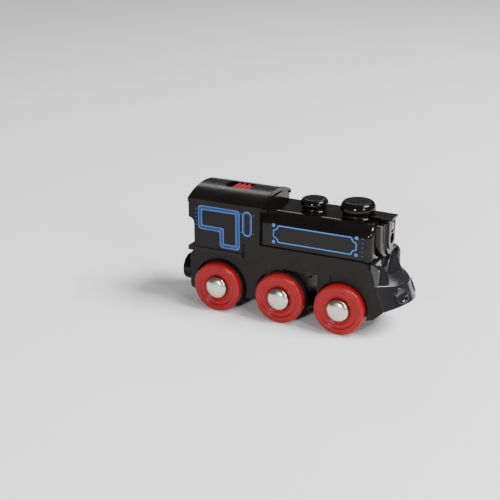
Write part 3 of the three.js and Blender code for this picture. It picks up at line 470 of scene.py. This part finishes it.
def make_roof():
    half = CAB["half"] + 0.5
    x0, x1 = CAB["rear"] - 0.1, CAB["front"] + 0.6
    roof = prism("roof_skin", arched(half, EAVE_Z, ROOF_APEX, EAVE_Z - 1.6, 64), "x", x0, x1)
    under = prism("t", arched(CAB["half"] + 0.02, CAB_EAVE + 0.02, CAB_APEX + 0.02, 40, 64),
                  "x", x0 - 1, x1 + 1)
    opening = block("t", SLOT_X - SLOT_LENGTH / 2, SLOT_X + SLOT_LENGTH / 2,
                    -SLOT_WIDTH / 2, SLOT_WIDTH / 2, 44, 56)
    rim = prism("t", arched(half + 0.12, EAVE_Z + 0.1, ROOF_APEX + 0.2, EAVE_Z - 1.6, 64), "x",
                x1 - 1.5, x1)
    joined(roof, rim)
    cut(roof, under, opening)
    softened(roof, 0.22, 3, 30)
    piece(roof, CAB_BLACK, BODY, "body_gloss", "cab_roof", smooth=40)


def make_knob():
    x, foot = SLOT_X + 0.6, ROOF_APEX - 2.0
    knob = block("switch_knob_skin", x - 3.45, x + 3.45, -3.4, 3.4, foot, foot + 0.9)
    for dx in (-2.3, 0.0, 2.3):
        joined(knob, block("t", x + dx - 0.55, x + dx + 0.55, -3.4, 3.4, foot + 0.5, foot + 1.6))
    joined(knob, block("t", x - 1, x + 1, -1, 1, foot - 2.5, foot + 0.2))
    softened(knob, 0.22, 3)
    piece(knob, KNOB_RED, "switch", "wheel_red", "switch_knob")


# ------------------------------------------------------------- boiler mountings
def cap_profile(seat, foot_r, top_r, top_z, edge, belt):
    """Drum that swells from its foot to a thick lid with a deeply rounded edge."""
    swell = seat + 0.9
    profile = [(0, seat), (foot_r + 0.3, seat), (foot_r + 0.1, seat + 0.18),
               (foot_r, seat + 0.45), (foot_r, swell)]
    for k in range(1, 13):
        t = k / 12
        ease = t * t * (3 - 2 * t)
        profile.append((foot_r + (top_r - foot_r) * ease, swell + (belt - swell) * t))
    for k in range(1, 19):
        a = math.pi / 2 * k / 18
        profile.append((top_r - edge * (1 - math.cos(a)), belt + (top_z - 0.1 - belt) * math.sin(a)))
    profile += [(top_r * 0.45, top_z - 0.03), (top_r * 0.2, top_z - 0.005), (0, top_z)]
    return profile


def make_mountings():
    seat = BOILER["top"] + 0.02
    chimney = turned("chimney_skin", cap_profile(seat, 6.2, 7.1, 51.3, 1.9, 48.1), "z",
                     centre("chimney").x / MM - SHIFT, 0, 128)
    piece(chimney, GLOSS_BLACK, BODY, "body_gloss", "chimney", smooth=60)
    dome = turned("steam_dome_skin", cap_profile(seat, 4.95, 5.75, 49.9, 1.6, 47.7), "z",
                  centre("steam_dome").x / MM - SHIFT, 0, 128)
    piece(dome, GLOSS_BLACK, BODY, "body_gloss", "steam_dome", smooth=60)


# -------------------------------------------------------------- smokebox front
def tongue(half, bottom, top, count=28):
    return [(half, top), (-half, top)] + arc(0, bottom + half, half, 180, 360, count)


TOWER = {"half": 3.9, "bottom": 33.3, "face": 42.4, "top": 46.0}
HOOD = {"back": 34.6, "front": 43.4, "half": 3.6, "top": 46.9}
LAMP_Z = 42.9
LAMP_R = 2.6
LED_Z = 42.3
LED_BORE_R = 2.0
DIMPLE_Z = 37.9


def make_smokebox():
    start = BOILER["front"] + 0.02
    flare = [(9.7, 0.0), (9.66, 0.5), (9.5, 1.0), (9.15, 1.42), (8.6, 1.7), (7.8, 1.86),
             (6.9, 1.94), (6.0, 2.0), (5.3, 2.1), (4.85, 2.3), (4.5, 2.62), (4.2, 3.1)]
    rings = []
    for half, rise in flare:
        bottom = 29.8 + (9.7 - half) * 0.3
        rings.append([(start + rise, y, z) for y, z in tongue(half, bottom, 46.0)])
    boss = skin("smokebox_skin", rings)
    common(boss, prism("t", boiler_section(0.4, 20), "x", 30, 50))
    tower = prism("t", tongue(TOWER["half"], TOWER["bottom"], TOWER["top"]), "x",
                  start, TOWER["face"])
    softened(tower, 0.3, 3)
    half, front, top = HOOD["half"], HOOD["front"], HOOD["top"]
    ridge = block("t", HOOD["back"], start + 0.1, -half, half, BOILER["top"] + 0.02, top)
    visor = [(start, TOWER["top"] - 0.1), (TOWER["face"] - 0.2, TOWER["top"] - 0.35),
             (front, TOWER["top"] - 0.05), (front, top), (start, top)]
    joined(ridge, prism("t", visor, "y", -half, half))
    softened(ridge, 0.16, 2)
    joined(boss, tower, ridge)
    cut(boss, rod("t", "x", 0, LAMP_Z, LAMP_R, TOWER["face"] - 2.2, TOWER["face"] + 0.6),
        rod("t", "x", 0, LED_Z, LED_BORE_R, start - 1, TOWER["face"] - 1),
        turned("t", [(0, -0.9), (1.9, -0.9), (2.05, -0.75), (2.05, -0.1), (2.2, 0.05), (2.2, 1),
                     (0, 1)], "x", 0, DIMPLE_Z, 64, 1, TOWER["face"]))
    piece(boss, GLOSS_BLACK, BODY, "body_gloss", "smokebox_front", smooth=42)


# --------------------------------------------------------------------- chassis
NOSE_TOP = (40.5, 22.3)
NOSE_FOOT = (45.0, 12.0)
CHASSIS = {"half": 13.9, "rear": -40.7, "bottom": 7.2, "skirt": 1.5}
ARCH = {"rear": (12.0, 0.6), "middle": (11.5, 0.0), "front": (11.1, 0.2)}
GEARBOX_HALF = 9.6
WELL_BACK = 10.6
WELL_WALL = 1.2
RECESS = (2.0, 16.8, 22.6)


def chassis_outline(inset):
    rear, raise_by = CHASSIS["rear"] + inset, (1 if inset else 0)
    bottom, step = CHASSIS["bottom"], STEP_Z - 0.05 + raise_by
    shoulder = (34 - inset, PARTING_Z + raise_by)
    outline = [(rear + 2, bottom), (38.2, bottom), (40.7 - inset, 7.9 + inset * 0.3),
               (NOSE_FOOT[0] - inset * 1.3, NOSE_FOOT[1]), (NOSE_TOP[0] - inset, NOSE_TOP[1])]
    outline += curve(outline[-1], (39 - inset, PARTING_Z - inset),
                     (35 - inset, PARTING_Z - inset * 0.6), 12)
    outline += [shoulder, (STEP_X + 0.1 + inset, PARTING_Z + raise_by),
                (STEP_X + 0.1 + inset, step), (rear + 3.8, step)]
    outline += curve(outline[-1], (rear, STEP_Z - 0.1), (rear, 21.6), 10)
    outline += [(rear, bottom + 2)]
    outline += curve(outline[-1], (rear, bottom), (rear + 2, bottom), 6)
    return outline[:-1]


def both_sides(x, r, depth, sides=72):
    return [rod("t", "y", x, AXLE_Z, r, depth, 20, sides),
            rod("t", "y", x, AXLE_Z, r, -20, -depth, sides)]


def openings(depth_wells, depth_recess, grow):
    tools = []
    for name in ("rear", "front"):
        r, shift = ARCH[name]
        tools += both_sides(AXLE_X[name] + shift, r + grow, depth_wells)
    x0, x1, top = RECESS
    tools += both_sides(AXLE_X["middle"], ARCH["middle"][0] + grow, depth_recess)
    for low, high in ((depth_recess, 20), (-20, -depth_recess)):
        tools.append(block("t", x0 - grow, x1 + grow, low, high, 0, top + grow))
    return tools


def make_chassis():
    half, skirt = CHASSIS["half"], CHASSIS["skirt"]
    floor = CHASSIS["bottom"] + 1.6
    frame_skin = prism("chassis_skin", chassis_outline(0), "y", -half, half)
    room = prism("t", chassis_outline(skirt), "y", skirt - half, half - skirt)
    cut(room, block("t", -60, 60, -20, 20, 0, floor),
        *openings(WELL_BACK - 0.8, GEARBOX_HALF + 0.1, WELL_WALL))
    slots = [block("t", AXLE_X[n] - 1.6, AXLE_X[n] + 1.6, -11, 11, 0, AXLE_Z + 1.6)
             for n in ("front", "rear")]
    slits = [block("t", 22.4, 22.75, 13.4, 15, 20, 23.6),
             block("t", 22.4, 22.75, -15, -13.4, 20, 23.6)]
    cut(frame_skin, room, *openings(WELL_BACK, GEARBOX_HALF + 0.1, 0),
        block("t", -34.9, 33.9, -GEARBOX_HALF - 0.1, GEARBOX_HALF + 0.1, 0, 12),
        *slots, *slits,
        block("t", STEP_X - 1, STEP_X + 3, skirt - half, half - skirt, 24, 40),
        block("t", 38.85, 60, -12.2, 12.2, 0, 40))
    bridge = block("t", -39.6, -34.4, 0.1 - WELL_BACK, WELL_BACK - 0.1, 14.4, 16.2)
    joined(frame_skin, bridge)
    cut(frame_skin, block("t", -45, -34.9, -4.4, 4.4, floor, 14.4),
        rod("t", "z", -36.5, 0, 1.06, 0, 20, 32))
    softened(frame_skin, 0.3, 3)
    piece(frame_skin, FRAME_BLACK, BODY, "frame_matt", "chassis_frame", smooth=40)


# ----------------------------------------------------------------------- pilot
NOSE_GAP = 0.25
PILOT_HALF = 13.9
DECK = {"reach": 9.0, "dip": 1.0}
FOOT = {"reach": 7.5, "lift": 2.0}
PANEL = {"back": 38.9, "front": 40.4, "half": 12.1, "foot": 12.4, "top": 30.9}


def deck_edge(t, less=0.0):
    bow = 1 - t * t
    return (NOSE_TOP[0] + NOSE_GAP + 0.2 + (DECK["reach"] - less) * bow,
            NOSE_TOP[1] - DECK["dip"] * bow)


def foot_edge(t, less=0.0):
    bow = 1 - t * t
    return (NOSE_FOOT[0] + NOSE_GAP + 0.2 + (FOOT["reach"] - less) * bow,
            NOSE_FOOT[1] + FOOT["lift"] * bow)


def blade(name, wall, below, soft):
    columns = 72
    rings = []
    for i in range(columns + 1):
        t = 2 * i / columns - 1
        y = t * (PILOT_HALF - wall)
        fx, fz = foot_edge(t, wall)
        dx, dz = deck_edge(t, wall)
        foot, deck = Vector((fx, fz - below)), Vector((dx, dz - wall))
        inside = Vector((NOSE_FOOT[0] + NOSE_GAP, fz - below))
        back = Vector((NOSE_TOP[0] + NOSE_GAP, dz - wall))
        ring = [(inside.x, y, inside.y)]
        if soft:
            for corner, before, after, r in ((foot, inside, deck, 0.35), (deck, foot, back, 0.55)):
                a = corner + (before - corner).normalized() * min(r, (before - corner).length * 0.45)
                b = corner + (after - corner).normalized() * min(r, (after - corner).length * 0.45)
                ring.append((a.x, y, a.y))
                ring += [(u, y, v) for u, v in curve(tuple(a), tuple(corner), tuple(b), 5)]
        else:
            ring += [(foot.x, y, foot.y), (deck.x, y, deck.y)]
        ring.append((back.x, y, back.y))
        rings.append(ring)
    return skin(name, rings)


def post(side):
    back = PANEL["front"] - 0.1
    base = [(back, 12.6, 22.3), (back, 1.2, 20.6), (44.7, 8.7, 21.9)]
    points = [(x, side * y, z) for x, y, z in base]
    points += [(back + 1.0, side * 9.3, 29.3)]
    points += [(x, side * y, 19.4) for x, y, _ in base]
    points += [(back, side * 9.3, 29.2)]
    faces = [(0, 2, 3), (0, 3, 7), (2, 1, 3), (1, 7, 3), (4, 6, 2, 0), (6, 5, 1, 2),
             (5, 4, 0, 7, 1), (4, 5, 6)]
    return softened(make("t", points, faces), 0.12, 2, 20)


def lip(side):
    plan = [(38.95, 11.5), (38.95, 13.9), (40.6, 13.85), (41.3, 13.68), (41.85, 13.3),
            (42.15, 12.85), (42.2, 12.5), (42.0, 12.1), (41.4, 11.5)]
    lip_piece = prism("t", [(x, side * y) for x, y in plan], "z", 19.2, 31)
    profile = [(38, 19.2), (41.2, 19.2), (42.1, 23.5), (42.5, 26), (42.25, 27.5), (41.8, 28.7),
               (41.2, 29.5), (40.4, 30.2), (39.5, 30.65), (38.6, 30.85), (38, 30.85)]
    return common(lip_piece, prism("t", profile, "y", -15, 15))


PAD = {"y": 6.5, "z": 17.2, "r": 3.3, "pocket": 2.5, "height": 0.3}


def pad_seat(side):
    """Middle of a buffer pad on the blade face, and the way the face looks there."""
    def at(t, z):
        fx, fz = foot_edge(t)
        dx, dz = deck_edge(t)
        up = (z - fz) / (dz - fz)
        return Vector((fx + (dx - fx) * up, t * PILOT_HALF, z))
    t = side * PAD["y"] / PILOT_HALF
    middle = at(t, PAD["z"])
    normal = (at(t + 0.05, PAD["z"]) - middle).cross(at(t, PAD["z"] + 1) - middle)
    return middle, normal.normalized()


def along(name, middle, direction, profile, sides=64):
    """Solid of revolution about a line in space: profile is (radius, distance)."""
    across = direction.cross(Vector((0, 0, 1))).normalized()
    upward = across.cross(direction)
    rings = []
    for r, w in profile:
        ring = []
        for k in range(sides):
            a = 2 * math.pi * k / sides
            p = middle + direction * w + (across * math.cos(a) + upward * math.sin(a)) * max(r, 1e-4)
            ring.append(tuple(p))
        rings.append(ring)
    return skin(name, rings)


def make_pilot():
    pilot = blade("pilot_skin", 0.0, 0.0, True)
    cut(pilot, blade("t", 1.5, 3.0, False))
    panel = block("t", PANEL["back"], PANEL["front"], -PANEL["half"], PANEL["half"],
                  PANEL["foot"], PANEL["top"])
    cut(panel, prism("t", tongue(6.4, 25.4, 33), "x", 36, 42))
    softened(panel, 0.25, 3)
    web = block("t", PANEL["back"], 41.4, -PANEL["half"], PANEL["half"], 19.2,
                NOSE_TOP[1] - DECK["dip"] - 0.1)
    joined(pilot, panel, web, post(1), post(-1), lip(1), lip(-1))
    for side in (1, -1):
        middle, normal = pad_seat(side)
        height = PAD["height"]
        joined(pilot, along("t", middle, normal, [
            (0, -1.4), (PAD["r"], -1.4), (PAD["r"], height - 0.15), (PAD["r"] - 0.05, height - 0.05),
            (PAD["r"] - 0.15, height), (0, height)]))
        cut(pilot, along("t", middle, normal, [
            (0, -0.6), (PAD["pocket"] - 0.2, -0.6), (PAD["pocket"], -0.45), (PAD["pocket"], 0.1),
            (PAD["pocket"] + 0.1, 0.25), (PAD["pocket"] + 0.25, height + 0.02), (PAD["pocket"] + 0.3, 3),
            (0, 3)]))
    edge = [(NOSE_FOOT[0] + NOSE_GAP, NOSE_FOOT[1] - 0.01), (NOSE_TOP[0] + NOSE_GAP, NOSE_TOP[1])]
    edge += curve(edge[-1], (39 + NOSE_GAP, PARTING_Z + NOSE_GAP), (35, PARTING_Z + NOSE_GAP), 12)
    edge += [(30, PARTING_Z + NOSE_GAP), (30, 5), (44, 5)]
    cut(pilot, prism("t", edge, "y", PANEL["half"], 20), prism("t", edge, "y", -20, -PANEL["half"]))
    # The pilot's lighter, bluish base colour is painted sheen for the reflection on its deck and blade.
    piece(pilot, PILOT_BLACK_PAINTED_SHEEN, BODY, "body_gloss", "pilot", smooth=38)


# --------------------------------------------------------------- running gear
WHEEL = {"r": 10.5, "back": 10.9, "face": 17.2, "tyre_edge": 14.0, "seat": 8.6, "bore": 1.62}
CAP_R = 4.7


def wheel_profile(has_tyre):
    """Once round the wheel's section, from the bore at the back: (radius, distance)."""
    width = WHEEL["face"] - WHEEL["back"]
    r, seat, bore = WHEEL["r"], WHEEL["tyre_edge"] - WHEEL["back"], WHEEL["bore"]
    profile = [(bore, 0.0)]
    if has_tyre:
        profile += [(WHEEL["seat"], 0.0), (WHEEL["seat"], seat), (r - 0.25, seat), (r - 0.05, seat + 0.1)]
    else:
        profile += [(r - 0.4, 0.0), (r - 0.12, 0.1), (r, 0.35)]
    profile += [(r, seat + 0.3), (r, width - 1.25)]
    profile += curve((r, width - 1.25), (r, width), (r - 1.5, width), 10)
    profile += [(r - 2.3, width - 0.02), (r - 2.55, width - 0.1), (r - 2.75, width - 0.35),
                (r - 3.0, width - 0.5), (r - 3.3, width - 0.52), (r - 4.2, width - 0.5),
                (r - 4.45, width - 0.56), (r - 4.6, width - 0.72), (r - 4.8, width - 0.8),
                (CAP_R + 0.3, width - 0.82), (CAP_R + 0.18, width - 0.95),
                (CAP_R + 0.18, width - 1.55), (bore, width - 1.55)]
    return profile


def make_wheels():
    width = WHEEL["face"] - WHEEL["back"]
    for name, x in AXLE_X.items():
        body = f"{name}_axle_set"
        has_tyre = name != "front"
        for side_name, side in (("left", 1), ("right", -1)):
            base = side * WHEEL["back"]
            wheel = ring_of(f"{name}_wheel_{side_name}_skin", wheel_profile(has_tyre), "y",
                            x, AXLE_Z, 128, side, base)
            piece(wheel, WHEEL_RED, body, "wheel_red", f"{name}_wheel_{side_name}", smooth=50)
            foot = width - 1.53
            cap_r = CAP_R
            dome = [(0, foot), (cap_r - 0.1, foot), (cap_r, foot + 0.12), (cap_r, foot + 1.0)]
            steps = 16
            rise = 1.95
            for k in range(steps + 1):
                a = math.pi / 2 * k / steps
                dome.append((cap_r * math.cos(a) ** 0.92 if k < steps else 0.0,
                             foot + 1.18 + rise * math.sin(a)))
            cap = turned(f"{name}_cap_{side_name}_skin", dome, "y", x, AXLE_Z, 96, side, base)
            piece(cap, CHROME, body, "cap_chrome", f"{name}_cap_{side_name}", smooth=60)
            if has_tyre:
                make_tyre(name, side_name, side, x, body)


def make_tyre(name, side_name, side, x, body):
    """Traction ring with fine ribs round its tread."""
    edge = WHEEL["tyre_edge"] - WHEEL["back"] - 0.05
    inner, outer = WHEEL["seat"] + 0.02, WHEEL["r"]
    profile = [(inner, 0.02), (outer - 0.3, 0.02), (outer - 0.1, 0.1)]
    ribs = 6
    pitch = (edge - 0.4) / ribs
    for k in range(ribs):
        w = 0.2 + k * pitch
        profile += [(outer - 0.12, w), (outer, w + pitch * 0.3), (outer, w + pitch * 0.7)]
    profile += [(outer - 0.12, edge - 0.15), (outer - 0.3, edge), (inner, edge)]
    tyre = ring_of(f"{name}_tyre_{side_name}_skin", profile, "y", x, AXLE_Z, 128, side,
                   side * WHEEL["back"])
    piece(tyre, RUBBER, body, "tyre_rubber", f"{name}_tyre_{side_name}", smooth=50)


# ------------------------------------------------------------- rear coupling
def make_coupling():
    face, z, r, pivot = -49.3, 11.0, 5.7, -36.5
    holder = turned("rear_coupling_skin", [
        (0, 0.0), (r - 0.45, 0.0), (r - 0.12, 0.12), (r, 0.45), (r, 3.5), (r - 0.1, 3.85),
        (r - 0.4, 4.15), (4.6, 5.4), (3.6, 6.7), (0, 6.7)], "x", 0, z, 96, 1, face)
    arm = block("t", -44, pivot, -2.2, 2.2, z - 1.6, z + 1.6)
    eye = rod("t", "z", pivot, 0, 2.9, z - 1.6, z + 1.6)
    joined(arm, eye)
    softened(arm, 0.25, 3)
    joined(holder, arm)
    cut(holder, rod("t", "x", 0, z, 4.23, face - 1, face + 2.4, 96),
        rod("t", "z", pivot, 0, 1.04, z - 4, z + 4, 32))
    piece(holder, GLOSS_BLACK, "coupling", "body_gloss", "rear_coupling", smooth=40)
    magnet = turned("rear_magnet_skin", [
        (0, 0.0), (3.85, 0.0), (4.1, 0.08), (4.2, 0.3), (4.2, 2.0), (4.1, 2.2), (3.9, 2.3), (0, 2.3)],
        "x", 0, z, 96, 1, face)
    piece(magnet, NICKEL, "coupling", "magnet_steel", "rear_magnet", smooth=40)


# ------------------------------------------------------------------ underside
SCREWS = [(-30.6, 7.4), (-30.6, -7.4), (31.2, 7.4), (31.2, -7.4)]


def make_base():
    top, bottom, sump = 7.2, 6.0, 4.5
    cover = block("base_cover_skin", -34.6, 33.6, -9.6, 9.6, bottom, top)
    joined(cover, block("t", -33.2, 11.4, -5.2, 5.2, sump, bottom + 0.1),
           block("t", -8.8, 11.4, -9.6, 9.6, sump, bottom + 0.1))
    for low, high in ((6.6, 8.4), (-8.4, -6.6)):
        x = AXLE_X["front"]
        joined(cover, block("t", x - 1.4, x + 1.4, low, high, top - 0.1, AXLE_Z - 1.65))
    cut(cover, block("t", -32.4, 10.4, -4.3, 4.3, sump + 0.8, 20))
    for x in (14.5, 17.5, 20.5, 23.5):
        cut(cover, block("t", x, x + 1.2, -6, 6, bottom - 1, bottom + 0.35))
    for x, y in SCREWS:
        cut(cover, rod("t", "z", x, y, 1.05, 0, 12, 32), rod("t", "z", x, y, 1.95, 0, bottom + 0.55, 48))
    softened(cover, 0.2, 2)
    piece(cover, FRAME_BLACK, BODY, "frame_matt", "base_cover", smooth=40)
    for i, (x, y) in enumerate(SCREWS):
        screw = turned(f"base_screw_{i + 1}_skin", [
            (0, 4.9), (1.2, 4.9), (1.6, 5.0), (1.82, 5.25), (1.85, 5.6), (1.85, 6.5), (0.95, 6.5),
            (0.95, 10.6), (0.2, 11.2), (0, 11.2)], "z", x, y, 48)
        cut(screw, block("t", x - 1.1, x + 1.1, y - 0.22, y + 0.22, 4, 5.5),
            block("t", x - 0.22, x + 0.22, y - 1.1, y + 1.1, 4, 5.5))
        piece(screw, STEEL, BODY, "steel", f"base_screw_{i + 1}", smooth=40)


# ------------------------------------------------------------- printed lines
PROUD = 0.05
SUNK = 0.12


def ribbon(name, outline, width, plane, side, material):
    """Flat printed line of constant width round an outline of (x, z) points."""
    count = len(outline)
    left, right = [], []
    for i, (x, z) in enumerate(outline):
        before, after = outline[i - 1], outline[(i + 1) % count]
        direction = Vector((after[0] - before[0], after[1] - before[1])).normalized()
        normal = Vector((-direction.y, direction.x))
        left.append((x + normal.x * width / 2, z + normal.y * width / 2))
        right.append((x - normal.x * width / 2, z - normal.y * width / 2))
    near, far = side * (plane - SUNK), side * (plane + PROUD)
    rings = []
    for (lx, lz), (rx, rz) in zip(left, right):
        rings.append([(lx, near, lz), (rx, near, rz), (rx, far, rz), (lx, far, lz)])
    line = skin(name, rings, closed=True)
    return piece(line, material, BODY, "body_gloss", smooth=30)


def rounded(points, r, count=6):
    """The outline with each corner rounded."""
    outline = []
    total = len(points)
    for i, point in enumerate(points):
        p = Vector(point)
        a, b = Vector(points[i - 1]), Vector(points[(i + 1) % total])
        start = p + (a - p).normalized() * r
        end = p + (b - p).normalized() * r
        outline.append(tuple(start))
        outline += curve(tuple(start), tuple(p), tuple(end), count)
    return outline


def notched(x0, x1, z0, z1, r, count=8):
    """Frame with a hollow quarter circle at each corner."""
    return (arc(x0, z0, r, 90, 0, count) + arc(x1, z0, r, 180, 90, count)
            + arc(x1, z1, r, 270, 180, count) + arc(x0, z1, r, 360, 270, count))


def dot(name, x, z, r, plane, side, material):
    spot = turned(name, [(0, -SUNK), (r, -SUNK), (r, PROUD * 0.5), (r * 0.8, PROUD), (0, PROUD)],
                  "y", x, z, 20, side, side * plane)
    return piece(spot, material, BODY, "body_gloss", smooth=60)


def make_prints():
    for tag, side in (("right", -1), ("left", 1)):
        plane = CAB["half"]

        def window(inset):
            x0, x1, z0, z1 = -36.3 + inset, -17.3 - inset, 27.5 + inset, 44.5 - inset
            xm, zm = -26.35 + inset, 34.3 + inset
            return [(x0, z1), (x1, z1), (x1, z0), (xm, z0), (xm, zm), (x0, zm)]

        ribbon(f"window_band_{tag}", rounded(window(0.9), 0.9), 1.1, plane, side, PRINT_DARK)
        ribbon(f"window_outer_{tag}", rounded(window(0.3), 1.2), 0.62, plane, side, PRINT_LIGHT)
        ribbon(f"window_inner_{tag}", rounded(window(1.55), 0.6), 0.5, plane, side, PRINT_LIGHT)
        middle, low, high = -13.9, 34.1, 44.7

        def oval(r, inset):
            return (arc(middle, low + inset + r, r, 180, 360, 14)
                    + arc(middle, high - inset - r, r, 0, 180, 14))

        ribbon(f"oval_band_{tag}", oval(1.45, 0.65), 0.5, plane, side, PRINT_DARK)
        ribbon(f"oval_line_{tag}", oval(1.85, 0.25), 0.55, plane, side, PRINT_LIGHT)
        for k in range(5):
            dot(f"cab_dot_{tag}_{k}", -37.3, 35.8 + 1.75 * k, 0.19, plane, side, PRINT_LIGHT)
        for k, (x, z) in enumerate(((-16.6, 43.4), (-11.0, 43.4), (-16.6, 35.6), (-11.0, 35.6))):
            dot(f"oval_dot_{tag}_{k}", x, z, 0.19, plane, side, PRINT_LIGHT)
        plane = BOILER["half"]
        x0, x1, z0, z1 = -2.75, 32.4, 33.4, 40.35
        ribbon(f"panel_line_{tag}", notched(x0, x1, z0, z1, 2.0), 0.5, plane, side, PRINT_LIGHT)
        for k, (x, z) in enumerate(((x0, z0), (x1, z0), (x1, z1), (x0, z1))):
            dot(f"panel_ball_{tag}_{k}", x, z, 0.72, plane, side, PRINT_LIGHT)
        for k in range(5):
            dot(f"boiler_dot_{tag}_{k}", 34.9, 33.2 + 1.78 * k, 0.19, plane, side, PRINT_LIGHT)


# ------------------------------------------------------- carried-over CAD nodes
CARRIED = {
    "steel": STEEL, "gear_white": GEAR_WHITE, "brass": BRASS, "board_green": BOARD,
    "cell_wrap": CELL_WRAP, "lens_clear": CLEAR, "wire_red": WIRE_RED,
    "wire_black": WIRE_BLACK, "frame_matt": INNER_BLACK,
}


def dress_carried_nodes():
    slot_of = {s["node"]: s["material_slot"] for s in frame["record"]["subparts"]}
    for name, obj in frame["nodes"].items():
        if obj.hide_render:
            continue
        obj.data.materials.clear()
        obj.data.materials.append(CARRIED[slot_of[name]])


make_boiler()
make_cab()
make_roof()
make_knob()
make_mountings()
make_smokebox()
make_chassis()
make_pilot()
make_wheels()
make_coupling()
make_base()
make_prints()
dress_carried_nodes()


# -------------------------------------------------------- floor, light, camera
def make_floor():
    floor = skin("floor", [[(-9000, -9000, z), (9000, -9000, z), (9000, 9000, z), (-9000, 9000, z)]
                           for z in (-4.0, -0.02)])
    n = Nodes("floor_paper")
    n.link(n.mixed(n.spread(n.noise(3.0), 0, 1), (0.93, 0.93, 0.93), (0.95, 0.95, 0.95)),
           n.shader.inputs["Base Color"])
    n.shader.inputs["Roughness"].default_value = 0.9
    n.shader.inputs["Specular IOR Level"].default_value = 0.1
    floor.data.materials.append(n.material)


def area_light(name, position, target, size, power, size_y=None):
    data = bpy.data.lights.new(name, "AREA")
    data.energy = power
    data.size = size
    if size_y:
        data.shape = "RECTANGLE"
        data.size_y = size_y
    light = bpy.data.objects.new(name, data)
    scene.collection.objects.link(light)
    light.location = position
    light.rotation_euler = (Vector(target) - Vector(position)).to_track_quat("-Z", "Y").to_euler()


def make_light():
    world = bpy.data.worlds.new("studio")
    scene.world = world
    world.use_nodes = True
    background = world.node_tree.nodes["Background"]
    background.inputs["Color"].default_value = (1.0, 1.0, 1.0, 1.0)
    background.inputs["Strength"].default_value = 0.16
    middle = (0.0, 0.0, 0.03)
    area_light("overhead", (0.85, 0.15, 1.10), middle, 0.60, 40.0, 0.60)
    area_light("behind", (-0.45, 1.25, 0.97), middle, 0.90, 3.2, 0.16)
    area_light("key", (0.02, -1.05, 0.34), middle, 0.13, 7.0)
    area_light("side", (0.85, -0.50, 0.42), middle, 0.20, 4.0)


CAMERA_PLACE = (157.6, -357.3, 170.0)
CAMERA_AZIMUTH = 26.39
CAMERA_ELEVATION = 20.27
CAMERA_LENS = 72.5
SENSOR_WIDTH = 36.0


def make_camera():
    azimuth, elevation = math.radians(CAMERA_AZIMUTH), math.radians(CAMERA_ELEVATION)
    view = Vector((-math.sin(azimuth) * math.cos(elevation),
                   math.cos(azimuth) * math.cos(elevation), -math.sin(elevation)))
    data = bpy.data.cameras.new("camera")
    data.lens = CAMERA_LENS
    data.sensor_width = SENSOR_WIDTH
    data.clip_start = 0.01
    camera = bpy.data.objects.new("camera", data)
    scene.collection.objects.link(camera)
    x, y, z = CAMERA_PLACE
    camera.location = ((x + SHIFT) * MM, y * MM, z * MM)
    camera.rotation_euler = view.to_track_quat("-Z", "Y").to_euler()
    scene.camera = camera


make_floor()
make_light()
make_camera()
